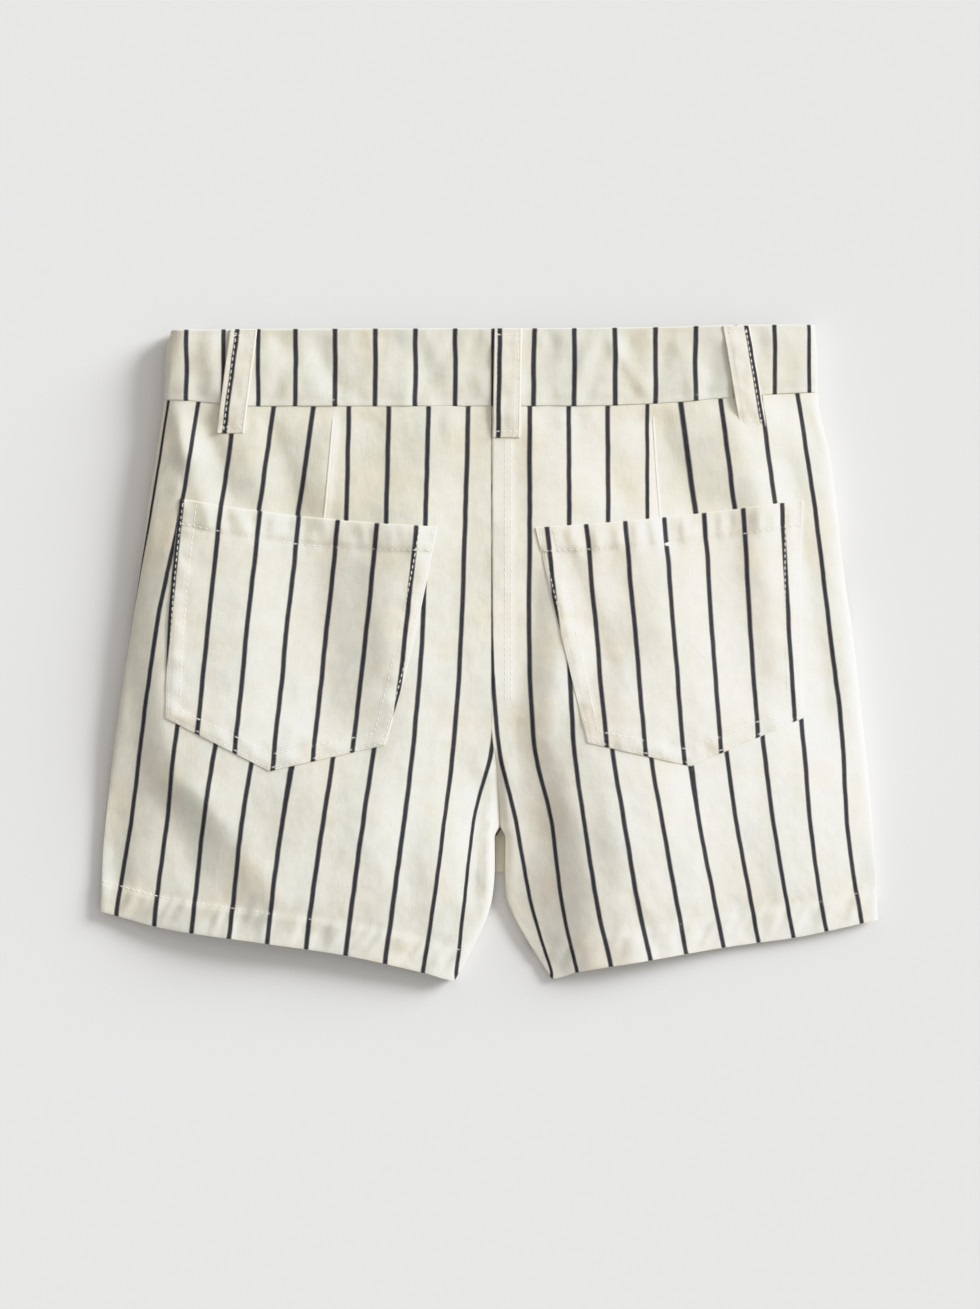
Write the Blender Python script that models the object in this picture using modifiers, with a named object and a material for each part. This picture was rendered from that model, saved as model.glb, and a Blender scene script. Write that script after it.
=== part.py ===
"""A denim skort lying flat on its front, with the back uppermost.

Units are metres, with the sizes below in millimetres. +Z is up, +Y points from the hems to the
waist, and -X is the wearer's left, which is also the left of someone who looks down at the back.
The garment rests on z = 0. From the bottom up it has the skirt front, the front of the shorts,
the hollow that the wearer fills, the back of the shorts, and the pockets and belt loops on it.
"""

from collections import namedtuple

import bmesh
import bpy
import numpy as np

MM = 0.001

# ---------------------------------------------------------------- cloth and seams

CLOTH = 1.2              # wall of one panel
BAND = 1.8               # the waistband is folded, so its wall is thicker
LOOP = 1.4               # a back belt loop, folded in three
FRONT_LOOP = 1.0         # a front belt loop, pressed flat under the garment
GAP = 0.3                # clearance between neighbouring pieces
HALF_GAP = GAP / 2
WAIST_GAP = 0.25         # clearance on each side of the curved seam under the waistband

SIDES = ("left", "right")

# ---------------------------------------------------------------- outline and height

SEAM_HEIGHT = 6.3        # height of the side seams and inseams
CENTRE = 1.4             # where the centre-back and centre-front seams lie
BAND_TOP = 12.0          # upper face of the waistband's back
BAND_LIFT = 1.3          # the front belt loops hold the waistband this far off the surface

# One row for each level across the garment: the two side folds and the height of the back.
Section = namedtuple("Section", "level left right height")
SECTIONS = (
    Section(level=-134.0, left=-195.1, right=195.1, height=10.8),
    Section(level=-98.0, left=-193.4, right=193.0, height=11.6),
    Section(level=-62.0, left=-189.9, right=190.2, height=12.4),
    Section(level=-26.0, left=-184.9, right=186.2, height=12.8),
    Section(level=10.0, left=-179.4, right=182.2, height=12.8),
    Section(level=41.0, left=-174.6, right=177.6, height=12.6),
    Section(level=76.0, left=-170.2, right=174.0, height=12.2),
    Section(level=100.0, left=-166.4, right=170.6, height=11.8),
    Section(level=127.0, left=-162.6, right=165.0, height=11.4),
    Section(level=148.0, left=-161.6, right=164.6, height=11.4),
    Section(level=163.0, left=-158.6, right=163.3, height=11.4),
)

# One row for each level down the middle: the centre seam's line, which runs on below the crotch,
# and how far the inner edge of each leg stands off it.
Inner = namedtuple("Inner", "level line left right")
INNER_EDGES = (
    Inner(level=-164.0, line=5.6, left=22.5, right=26.3),
    Inner(level=-151.6, line=5.6, left=15.5, right=18.2),
    Inner(level=-139.6, line=5.6, left=9.5, right=10.9),
    Inner(level=-131.0, line=5.6, left=6.0, right=6.4),
    Inner(level=-121.6, line=5.6, left=3.7, right=3.1),
    Inner(level=-110.0, line=5.6, left=2.6, right=2.7),
    Inner(level=-92.0, line=5.6, left=2.6, right=2.7),
    Inner(level=-86.6, line=5.6, left=0.0, right=0.0),
    Inner(level=-61.0, line=4.1, left=0.0, right=0.0),
    Inner(level=-34.6, line=CENTRE, left=0.0, right=0.0),
    Inner(level=163.0, line=CENTRE, left=0.0, right=0.0),
)
FORK_START = -34.6       # below this level the back dips towards the crotch
FORK_END = -86.6         # the crotch, where the legs part

# One row for each place across the garment: hem, seam under the waistband, and its top edge.
Line = namedtuple("Line", "across hem seam top")
LINES = (
    Line(across=-195.1, hem=-129.6, seam=126.4, top=161.4),
    Line(across=-160.0, hem=-138.6, seam=126.2, top=161.4),
    Line(across=-114.9, hem=-145.0, seam=123.0, top=161.6),
    Line(across=-70.9, hem=-151.6, seam=123.0, top=161.8),
    Line(across=-32.4, hem=-160.3, seam=123.0, top=161.9),
    Line(across=-16.9, hem=-164.1, seam=123.0, top=161.9),
    Line(across=31.9, hem=-163.5, seam=123.1, top=162.0),
    Line(across=44.6, hem=-160.1, seam=123.1, top=162.1),
    Line(across=81.1, hem=-153.9, seam=124.2, top=162.5),
    Line(across=119.4, hem=-147.5, seam=127.2, top=163.6),
    Line(across=154.6, hem=-142.6, seam=129.8, top=164.1),
    Line(across=195.1, hem=-133.9, seam=131.2, top=163.4),
)

# The turn of the cloth round a side fold or an inseam, as shares of its width and its height.
Turn = namedtuple("Turn", "reach rise")
TURN = (
    Turn(reach=0.0, rise=0.0),
    Turn(reach=0.0, rise=0.2),
    Turn(reach=0.1, rise=0.56),
    Turn(reach=0.34, rise=0.84),
    Turn(reach=0.64, rise=0.96),
    Turn(reach=1.0, rise=1.0),
)
SIDE_TURN = 9.0          # width of the turn at a side fold
INSEAM_TURN = 8.0        # width of the turn at an inseam
BAND_TURN = 6.0          # width of the turn at an end of the waistband
SEAM_ALLOWANCE = 0.1     # keeps the turn's first two columns apart where the cloth lies flat

# The largest soft folds of the back: a line, the width of the fold, and its height or depth.
Fold = namedtuple("Fold", "x0 y0 x1 y1 width height")
FOLDS = (
    Fold(x0=58.0, y0=4.0, x1=30.0, y1=-52.0, width=13.0, height=-1.1),
    Fold(x0=28.0, y0=-70.0, x1=38.0, y1=-150.0, width=9.0, height=-1.0),
    Fold(x0=-121.0, y0=-66.0, x1=-126.0, y1=-118.0, width=14.0, height=-0.8),
    Fold(x0=-60.0, y0=-70.0, x1=-46.0, y1=-140.0, width=16.0, height=0.7),
    Fold(x0=88.0, y0=-72.0, x1=104.0, y1=-132.0, width=15.0, height=0.7),
    Fold(x0=-12.0, y0=96.0, x1=-22.0, y1=0.0, width=12.0, height=-0.6),
    Fold(x0=14.0, y0=60.0, x1=22.0, y1=-28.0, width=10.0, height=0.6),
)

# ---------------------------------------------------------------- front

FRONT_DIP = 10.0         # the front of the waist is cut this much lower at the centre
WAIST_HALF = 160.0       # half the width of the waist, where the front is as high as the back
HALF_WIDTH = 195.0       # half the width at the hem
FRONT_SHORTER = 1.0      # the legs' front hems lie this much inside the back ones
LIFTED = 15.0            # below the front waist seam the cloth stays at BAND_LIFT for this length
LEVELLED = 35.0          # and is down on the surface at this distance
SKIRT_HEM_CENTRE = -110.0
SKIRT_HEM_SIDE = -125.0
SETTLING = 14.0          # the legs' front comes down on the surface this far past the skirt's hem
LAP = 12.0               # the waistband's front ends pass the centre by this
LAP_FLAT = 14.0          # and lie level this far from it
LAP_END = 34.0           # past this they are back at BAND_LIFT
BUTTON_RADIUS = 8.5
BUTTON_HEIGHT = 2.0
BUTTON_BEVEL = 0.5
PLACKET_WIDTH = 34.0
PLACKET_LENGTH = 128.0
FRONT_LOOP_PLACE = 82.0  # distance of the front belt loops from the centre

# ---------------------------------------------------------------- pockets and belt loops

# The five corners of a pocket, then how far its mouth and its two sides bow outwards.
Pocket = namedtuple(
    "Pocket", "name top_left top_right low_right point low_left bow_top bow_left bow_right")
POCKETS = (
    Pocket(name="pocket_left", top_left=(-154.1, 76.9), top_right=(-25.9, 62.9),
           low_right=(-51.9, -46.1), point=(-109.4, -59.1), low_left=(-161.4, -32.6),
           bow_top=-2.2, bow_left=1.8, bow_right=2.0),
    Pocket(name="pocket_right", top_left=(23.1, 62.4), top_right=(157.1, 76.4),
           low_right=(157.1, -32.6), point=(100.6, -56.6), low_left=(49.1, -44.9),
           bow_top=-1.5, bow_left=0.0, bow_right=-1.0),
)

# The middle of a back belt loop's two ends.
Loop = namedtuple("Loop", "name top_x top_y end_x end_y")
LOOPS = (
    Loop(name="belt_loop_left", top_x=-122.4, top_y=161.6, end_x=-129.1, end_y=109.4),
    Loop(name="belt_loop_centre", top_x=9.7, top_y=161.9, end_x=8.8, end_y=107.2),
    Loop(name="belt_loop_right", top_x=123.6, top_y=163.4, end_x=131.9, end_y=112.9),
)
LOOP_WIDTH = 13.6
LOOP_ARCH = 1.0          # a loop stands this much off the band half way along
LOOP_BELOW_SEAM = 15.0   # the front loops end this far below the waist seam

# ---------------------------------------------------------------- grids

BACK_COLUMNS = 9         # between the two turns of a back panel
BACK_ROWS = 24
FRONT_COLUMNS = 5
FRONT_ROWS = 11          # of the shorts' front, below LEVELLED
SKIRT_ROWS = 9           # of the skirt, below LEVELLED
UPPER_ROWS = 2           # above it, up to the waist seam
PLACKET_ROWS = 4         # of the placket, below LEVELLED
BAND_COLUMNS = 12
BAND_ROWS = 2
POCKET_COLUMNS = 10
POCKET_ROWS = 9
LOOP_ROWS = 8
FRONT_LOOP_ROWS = 3
STRIP_COLUMNS = 2        # across the placket and a back belt loop
SETTLE_STEPS = 6         # rounds in which a point's place across and its level find each other

# ---------------------------------------------------------------- colours

CREAM = (0.80, 0.77, 0.68, 1.0)
POCKET_CREAM = (0.82, 0.79, 0.71, 1.0)
LOOP_CREAM = (0.78, 0.74, 0.64, 1.0)
BUTTON_METAL = (0.62, 0.58, 0.50, 1.0)


def read(table, key, column, place):
    """Value of a column between a table's rows, on a curve that never overshoots them."""
    rows = sorted(table, key=lambda row: getattr(row, key))
    places = np.array([getattr(row, key) for row in rows])
    values = np.array([getattr(row, column) for row in rows])
    if place <= places[0]:
        return float(values[0])
    if place >= places[-1]:
        return float(values[-1])
    steps = np.diff(values) / np.diff(places)
    slopes = np.zeros(len(values))
    for inside in range(1, len(values) - 1):
        before, after = steps[inside - 1], steps[inside]
        if before * after > 0.0:
            slopes[inside] = 2.0 * before * after / (before + after)
    slopes[0], slopes[-1] = steps[0], steps[-1]
    low = int(np.searchsorted(places, place, side="right")) - 1
    span = places[low + 1] - places[low]
    t = (place - places[low]) / span
    from_low = values[low] * (1 + 2 * t) * (1 - t) ** 2 + slopes[low] * span * t * (1 - t) ** 2
    from_high = values[low + 1] * t * t * (3 - 2 * t) + slopes[low + 1] * span * t * t * (t - 1)
    return float(from_low + from_high)


def ease(share):
    """Smooth step from 0 to 1."""
    share = min(max(share, 0.0), 1.0)
    return share * share * (3.0 - 2.0 * share)


def mix(low, high, share):
    return low + (high - low) * share


# ---------------------------------------------------------------- surfaces

def side_edge(side, level):
    """The fold at a side of the garment; side is "left" or "right"."""
    return read(SECTIONS, "level", side, level)


def inner_edge(side, level):
    """The inner edge of a leg, or the centre seam above the crotch, on that side of the gap."""
    outwards = -1.0 if side == "left" else 1.0
    stand_off = read(INNER_EDGES, "level", side, level) + HALF_GAP
    return read(INNER_EDGES, "level", "line", level) + outwards * stand_off


def fork(level):
    """0 where the centre seam lies flat, and 1 from the crotch down, where it turns under."""
    return ease((FORK_START - level) / (FORK_START - FORK_END))


def fold_height(x, y):
    """Height that the soft folds add at a point of the back."""
    height = 0.0
    for fold in FOLDS:
        run = np.array((fold.x1 - fold.x0, fold.y1 - fold.y0))
        offset = np.array((x - fold.x0, y - fold.y0))
        share = min(max(float(offset @ run) / float(run @ run), 0.0), 1.0)
        distance = float(np.linalg.norm(offset - run * share))
        height += fold.height * float(np.exp(-(distance / fold.width) ** 2))
    return height


def back_height(x, y):
    """Height of the back's upper face between its turns."""
    return read(SECTIONS, "level", "height", y) + fold_height(x, y)


def front_dip(x):
    """How much lower the front of the waist is cut at a place across it."""
    return FRONT_DIP * max(0.0, 1.0 - ((x - CENTRE) / WAIST_HALF) ** 2)


def front_seam(x):
    return read(LINES, "across", "seam", x) - front_dip(x)


def skirt_hem(x):
    """The skirt's hem, a shallow arc that rises to the centre."""
    share = min(abs(x - CENTRE) / HALF_WIDTH, 1.0)
    return mix(SKIRT_HEM_CENTRE, SKIRT_HEM_SIDE, share ** 1.5)


def lift(x, y):
    """Height of the underside: it lies on the surface, but for the top, near the waist seam."""
    below = front_seam(x) - y
    return BAND_LIFT * min(max((LEVELLED - below) / (LEVELLED - LIFTED), 0.0), 1.0)


def front_height(x, y):
    """Height of the outer, lower face of the shorts' front, which lies on the skirt."""
    past_hem = skirt_hem(x) - y
    on_skirt = (CLOTH + GAP) * (1.0 - ease((past_hem - SETTLING) / SETTLING))
    return lift(x, y) + on_skirt


# ---------------------------------------------------------------- making pieces

# What tells a panel's grid apart: its columns between the turns and its rows, the level of each
# row, how far it lies inside the outline, its height, whether it forks at the crotch, and which
# way its outer face looks.
Shape = namedtuple(
    "Shape", "columns rows level_at inset height_at seam_height has_fork faces_up")


def clear_scene():
    for item in list(bpy.data.objects):
        bpy.data.objects.remove(item, do_unlink=True)


def collection_for(name):
    holder = bpy.data.collections.new(name)
    bpy.context.scene.collection.children.link(holder)
    return holder


def finish(name, colour, roughness, metallic=0.0):
    material = bpy.data.materials.new(name)
    material.use_nodes = True
    shader = material.node_tree.nodes["Principled BSDF"]
    shader.inputs["Base Color"].default_value = colour
    shader.inputs["Roughness"].default_value = roughness
    shader.inputs["Metallic"].default_value = metallic
    return material


def cloth_piece(name, columns, rows, place, wall, material, holder, faces_up=True):
    """A grid whose points are set by place(column, row), given a wall on its inner side."""
    builder = bmesh.new()
    bmesh.ops.create_grid(builder, x_segments=columns, y_segments=rows, size=1.0)
    for point in builder.verts:
        column = round((point.co.x + 1.0) / 2.0 * columns)
        row = round((point.co.y + 1.0) / 2.0 * rows)
        x, y, z = place(column, row)
        point.co = (x * MM, y * MM, z * MM)
    if not faces_up:
        bmesh.ops.reverse_faces(builder, faces=builder.faces[:])
    mesh = bpy.data.meshes.new(name)
    builder.to_mesh(mesh)
    builder.free()
    mesh.materials.append(material)
    mesh.shade_smooth()
    piece = bpy.data.objects.new(name, mesh)
    holder.objects.link(piece)
    thickness = piece.modifiers.new("Wall", "SOLIDIFY")
    thickness.thickness = wall * MM
    thickness.offset = -1.0
    thickness.use_even_offset = True
    return piece


def panel_stations(middle, inner_turn=True):
    """Columns from the inner edge to the side: which turn each is on, and its step there."""
    last = len(TURN) - 1
    inner = [("inner", 0.0, step) for step in range(last)] if inner_turn else []
    flat = [("flat", step / middle, last) for step in range(middle + 1)]
    side = [("side", 0.0, step) for step in range(last - 1, -1, -1)]
    return inner + flat + side


def panel_point(side, station, level, shape):
    """Where a panel's column crosses a level, and its height there."""
    outwards = -1.0 if side == "left" else 1.0
    kind, share, step = station
    turn = TURN[step]
    side_width = SIDE_TURN - shape.inset
    outer = side_edge(side, level) - outwards * shape.inset
    if shape.has_fork:
        inner = inner_edge(side, level)
        under = fork(level)
        inner_width = INSEAM_TURN
    else:
        inner = CENTRE + outwards * HALF_GAP
        under = 0.0
        inner_width = 0.0
    if kind == "inner":
        reach = mix(SEAM_ALLOWANCE, 1.0, turn.reach) if step > 1 else (
            SEAM_ALLOWANCE * (1.0 - under) * step)
        x = inner + outwards * reach * inner_width
        drop = (1.0 - turn.rise) * under
    elif kind == "side":
        x = outer - outwards * turn.reach * side_width
        drop = 1.0 - turn.rise
    else:
        x = mix(inner + outwards * inner_width, outer - outwards * side_width, share)
        drop = 0.0
    return x, mix(shape.height_at(x, level), shape.seam_height, drop)


def panel(name, side, shape, cloth, holder):
    """One half of the back, of the shorts' front or of the skirt."""
    stations = panel_stations(shape.columns, shape.has_fork)
    if side == "left":
        stations = stations[::-1]

    def place(column, row):
        x = CENTRE
        for _ in range(SETTLE_STEPS):
            level = shape.level_at(x, row)
            x, height = panel_point(side, stations[column], level, shape)
        return x, level, height

    return cloth_piece(name, len(stations) - 1, shape.rows, place, CLOTH, cloth, holder,
                       faces_up=shape.faces_up)


# ---------------------------------------------------------------- the garment

def make_backs(cloth, holder):
    def level_at(x, row):
        hem = read(LINES, "across", "hem", x)
        seam = read(LINES, "across", "seam", x) - WAIST_GAP
        return mix(hem, seam, row / BACK_ROWS)

    shape = Shape(columns=BACK_COLUMNS, rows=BACK_ROWS, level_at=level_at, inset=0.0,
                  height_at=back_height, seam_height=SEAM_HEIGHT + HALF_GAP, has_fork=True,
                  faces_up=True)
    for side in SIDES:
        panel("back_" + side, side, shape, cloth, holder)


def rows_below_waist(hem_at, lower_rows):
    """Rows for the front pieces: even from the hem up to LEVELLED, then LIFTED, then the seam."""
    def level_at(x, row):
        seam = front_seam(x) - WAIST_GAP
        if row <= lower_rows:
            return mix(hem_at(x), seam - LEVELLED, row / lower_rows)
        return seam - (LIFTED if row == lower_rows + 1 else 0.0)

    return level_at


def make_fronts(cloth, holder):
    def hem_at(x):
        return read(LINES, "across", "hem", x) + FRONT_SHORTER

    shape = Shape(columns=FRONT_COLUMNS, rows=FRONT_ROWS + UPPER_ROWS,
                  level_at=rows_below_waist(hem_at, FRONT_ROWS), inset=CLOTH + GAP,
                  height_at=front_height, seam_height=SEAM_HEIGHT - HALF_GAP, has_fork=True,
                  faces_up=False)
    for side in SIDES:
        panel("front_" + side, side, shape, cloth, holder)


def make_skirt(cloth, holder):
    shape = Shape(columns=FRONT_COLUMNS, rows=SKIRT_ROWS + UPPER_ROWS,
                  level_at=rows_below_waist(skirt_hem, SKIRT_ROWS), inset=0.0,
                  height_at=lift, seam_height=SEAM_HEIGHT - HALF_GAP, has_fork=False,
                  faces_up=False)
    for side in SIDES:
        panel("skirt_front_" + side, side, shape, cloth, holder)


def make_waistband_back(cloth, holder):
    last = len(TURN) - 1
    left = [("left", step) for step in range(last)]
    middle = [("flat", step) for step in range(BAND_COLUMNS + 1)]
    right = [("right", step) for step in range(last - 1, -1, -1)]
    stations = left + middle + right

    def place(column, row):
        kind, step = stations[column]
        x = CENTRE
        for _ in range(SETTLE_STEPS):
            seam = read(LINES, "across", "seam", x) + WAIST_GAP
            level = mix(seam, read(LINES, "across", "top", x), row / BAND_ROWS)
            start = side_edge("left", level) + BAND_TURN
            end = side_edge("right", level) - BAND_TURN
            if kind == "flat":
                x = mix(start, end, step / BAND_COLUMNS)
                rise = 1.0
            elif kind == "left":
                x = start - BAND_TURN * (1.0 - TURN[step].reach)
                rise = TURN[step].rise
            else:
                x = end + BAND_TURN * (1.0 - TURN[step].reach)
                rise = TURN[step].rise
        return x, level, mix(SEAM_HEIGHT + HALF_GAP, BAND_TOP, rise)

    cloth_piece("waistband_back", len(stations) - 1, BAND_ROWS, place, BAND, cloth, holder)


def make_waistband_front(cloth, holder):
    """The two front lengths; the right one laps outside the left one and takes the button."""
    button_room = BUTTON_HEIGHT + GAP
    lap_heights = {"right": button_room, "left": button_room + BAND + GAP}
    last = len(TURN) - 1
    half = BAND_COLUMNS // 2
    for side in SIDES:
        outwards = -1.0 if side == "left" else 1.0
        stations = [("lap", -LAP), ("lap", LAP_FLAT)]
        stations += [("flat", step / half) for step in range(half + 1)]
        stations += [("turn", step) for step in range(last - 1, -1, -1)]
        ordered = stations if side == "right" else stations[::-1]

        def place(column, row, side=side, outwards=outwards, ordered=ordered):
            kind, value = ordered[column]
            rise = 1.0
            height = BAND_LIFT
            x = CENTRE + outwards * LAP_END
            for _ in range(SETTLE_STEPS):
                seam = front_seam(x) + WAIST_GAP
                top = read(LINES, "across", "top", x) - front_dip(x)
                level = mix(seam, top, row / BAND_ROWS)
                end = side_edge(side, level)
                if kind == "lap":
                    x = CENTRE + outwards * value
                    height = lap_heights[side]
                elif kind == "flat":
                    x = mix(CENTRE + outwards * LAP_END, end - outwards * BAND_TURN, value)
                else:
                    x = end - outwards * BAND_TURN * TURN[value].reach
                    rise = TURN[value].rise
            return x, level, mix(SEAM_HEIGHT - HALF_GAP, height, rise)

        cloth_piece("waistband_front_" + side, len(stations) - 1, BAND_ROWS, place, BAND, cloth,
                    holder, faces_up=False)


def make_placket(cloth, holder):
    """The fly's facing, inside the shorts behind the centre-front seam."""
    level_at = rows_below_waist(lambda x: front_seam(x) - PLACKET_LENGTH, PLACKET_ROWS)

    def place(column, row):
        x = CENTRE + (column / STRIP_COLUMNS - 0.5) * PLACKET_WIDTH
        level = level_at(x, row)
        return x, level, lift(x, level) + 2.0 * (CLOTH + GAP) + CLOTH

    cloth_piece("fly_placket", STRIP_COLUMNS, PLACKET_ROWS + UPPER_ROWS, place, CLOTH, cloth,
                holder)


def make_button(metal, holder):
    """A plain waist button under the front lap."""
    builder = bmesh.new()
    bmesh.ops.create_cone(builder, cap_ends=True, segments=24, radius1=BUTTON_RADIUS * MM,
                          radius2=BUTTON_RADIUS * MM, depth=BUTTON_HEIGHT * MM)
    mesh = bpy.data.meshes.new("waist_button")
    builder.to_mesh(mesh)
    builder.free()
    mesh.materials.append(metal)
    mesh.shade_smooth()
    button = bpy.data.objects.new("waist_button", mesh)
    holder.objects.link(button)
    middle = front_seam(CENTRE) + (read(LINES, "across", "top", CENTRE) - front_dip(CENTRE))
    button.location = (CENTRE * MM, middle / 2.0 * MM, BUTTON_HEIGHT / 2.0 * MM)
    edge = button.modifiers.new("Edge", "BEVEL")
    edge.width = BUTTON_BEVEL * MM
    edge.segments = 2


def pocket_point(pocket, across, up):
    """Point of a pocket's outline patch; across and up run from 0 to 1."""
    corners = {name: np.array(getattr(pocket, name)) for name in
               ("top_left", "top_right", "low_right", "point", "low_left")}
    if across <= 0.5:
        bottom = mix(corners["low_left"], corners["point"], across * 2.0)
    else:
        bottom = mix(corners["point"], corners["low_right"], across * 2.0 - 1.0)
    bow = 4.0 * across * (1.0 - across)
    mouth = mix(corners["top_left"], corners["top_right"], across)
    mouth = mouth + np.array((0.0, pocket.bow_top)) * bow
    bulge = 4.0 * up * (1.0 - up)
    left = mix(corners["low_left"], corners["top_left"], up)
    left = left - np.array((pocket.bow_left, 0.0)) * bulge
    right = mix(corners["low_right"], corners["top_right"], up)
    right = right + np.array((pocket.bow_right, 0.0)) * bulge
    square = mix(mix(corners["low_left"], corners["low_right"], across),
                 mix(corners["top_left"], corners["top_right"], across), up)
    return mix(bottom, mouth, up) + mix(left, right, across) - square


def make_pockets(cloth, holder):
    for pocket in POCKETS:
        def place(column, row, pocket=pocket):
            x, y = pocket_point(pocket, column / POCKET_COLUMNS, row / POCKET_ROWS)
            return x, y, back_height(x, y) + GAP + CLOTH

        cloth_piece(pocket.name, POCKET_COLUMNS, POCKET_ROWS, place, CLOTH, cloth, holder)


def make_back_loops(cloth, holder):
    for loop in LOOPS:
        def place(column, row, loop=loop):
            up = row / LOOP_ROWS
            x = mix(loop.end_x, loop.top_x, up) + (column / STRIP_COLUMNS - 0.5) * LOOP_WIDTH
            y = mix(loop.end_y, loop.top_y, up)
            end_height = back_height(loop.end_x, loop.end_y)
            under = mix(end_height, BAND_TOP, ease(up * 4.0))
            arch = LOOP_ARCH * ease((1.0 - abs(2.0 * up - 1.0)) * 2.0)
            return x, y, under + GAP + LOOP + arch

        cloth_piece(loop.name, STRIP_COLUMNS, LOOP_ROWS, place, LOOP, cloth, holder)


def make_front_loops(cloth, holder):
    for side, outwards in zip(SIDES, (-1.0, 1.0)):
        middle = CENTRE + outwards * FRONT_LOOP_PLACE

        def place(column, row, middle=middle):
            x = middle + (column - 0.5) * LOOP_WIDTH
            low = front_seam(middle) - LOOP_BELOW_SEAM + GAP
            high = read(LINES, "across", "top", middle) - front_dip(middle)
            return x, mix(low, high, row / FRONT_LOOP_ROWS), 0.0

        cloth_piece("belt_loop_front_" + side, 1, FRONT_LOOP_ROWS, place, FRONT_LOOP, cloth,
                    holder, faces_up=False)


def build():
    clear_scene()
    holder = collection_for("denim_skort")
    cream = finish("striped_denim", CREAM, 0.9)
    pocket_cream = finish("pocket_denim", POCKET_CREAM, 0.9)
    loop_cream = finish("loop_denim", LOOP_CREAM, 0.9)
    metal = finish("button_metal", BUTTON_METAL, 0.4, metallic=1.0)
    make_skirt(cream, holder)
    make_fronts(cream, holder)
    make_placket(cream, holder)
    make_backs(cream, holder)
    make_waistband_back(cream, holder)
    make_waistband_front(cream, holder)
    make_button(metal, holder)
    make_pockets(pocket_cream, holder)
    make_back_loops(loop_cream, holder)
    make_front_loops(loop_cream, holder)


build()
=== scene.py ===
"""The looks of a denim skort that lies flat on its front, with the back uppermost.

Sizes are in millimetres unless a name says otherwise. +Z is up, +Y points from the hems to the
waist, and -X is the wearer's left. The garment rests on z = 0. Each piece of cloth is a thin shell
on the form of the solid that it replaces, with a UV map "grain" in millimetres: u counts the
cloth across its pinstripes, which lie at each 20 mm of it, and v runs along them.
"""

import math
import random
from collections import namedtuple

import bmesh
import bpy
import numpy as np
from mathutils import Matrix, Vector, noise


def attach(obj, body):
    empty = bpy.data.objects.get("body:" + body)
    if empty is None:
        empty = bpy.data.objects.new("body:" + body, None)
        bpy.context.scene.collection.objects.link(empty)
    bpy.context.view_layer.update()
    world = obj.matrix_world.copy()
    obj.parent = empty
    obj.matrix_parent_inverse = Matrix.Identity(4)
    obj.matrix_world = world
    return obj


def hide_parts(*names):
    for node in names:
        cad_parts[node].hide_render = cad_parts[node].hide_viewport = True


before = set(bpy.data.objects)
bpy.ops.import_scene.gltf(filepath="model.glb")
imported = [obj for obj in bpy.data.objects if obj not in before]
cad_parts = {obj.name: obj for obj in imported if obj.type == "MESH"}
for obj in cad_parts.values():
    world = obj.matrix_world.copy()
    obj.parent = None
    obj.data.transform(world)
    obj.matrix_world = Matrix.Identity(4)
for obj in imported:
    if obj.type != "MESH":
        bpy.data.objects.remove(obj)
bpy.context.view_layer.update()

# ---------------------------------------------------------------- the back of the shorts
# Two panels of cream cotton twill with a woven navy pinstripe. A felled seam joins them down the
# centre back, their sides and inseams turn down to the front, and their hems are turned up and
# stitched. A dart in each, below the waistband, takes in one stripe.

MM = 0.001
SIDES = {"left": -1.0, "right": 1.0}  # the way from the middle to each side, along X
CENTRE = 1.4             # where the centre-back seam lies
SHELL = 0.9              # wall of the cloth as it shows
SEAM_HEIGHT = 6.3        # of the side seams and inseams,
SEAM_SHARE = 0.3         # less this share of how far the back beside them has fallen,
SEAM_UNDER = 0.3         # and always at least this much under the back
SEAM_TUCK = 0.3          # how far panels that are sewn together run into their seam
WAIST_TUCK = 1.2         # how far a panel's upper edge is caught inside the waistband
SIDE_TURN = 9.0          # width of the turn at a side
TURN_DEPTH = 5.5         # how far the cloth comes down in it
INSEAM_TURN = 8.0        # width of the turn at an inseam
ROUNDNESS = 3.4          # power of the turns' curve, where 2 is an ellipse
FORK_START = -34.6       # below this level the back dips towards the crotch,
FORK_POWER = 1.6         # slowly at first
FORK_END = -86.6         # the crotch
STRIPE_PITCH = 20.0

# One row for each level across the garment: the two side folds and the height of the back.
Section = namedtuple("Section", "level left right height")
SECTIONS = (
    Section(level=-134.0, left=-195.1, right=195.1, height=10.8),
    Section(level=-98.0, left=-193.4, right=193.0, height=11.6),
    Section(level=-62.0, left=-189.9, right=190.2, height=12.4),
    Section(level=-26.0, left=-184.9, right=186.2, height=12.8),
    Section(level=10.0, left=-179.4, right=182.2, height=12.8),
    Section(level=41.0, left=-174.6, right=177.6, height=12.6),
    Section(level=76.0, left=-170.2, right=174.0, height=12.2),
    Section(level=100.0, left=-166.4, right=170.6, height=11.8),
    Section(level=127.0, left=-162.6, right=165.0, height=11.4),
    Section(level=148.0, left=-161.6, right=164.6, height=11.4),
    Section(level=163.0, left=-158.6, right=163.3, height=11.4),
)

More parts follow.
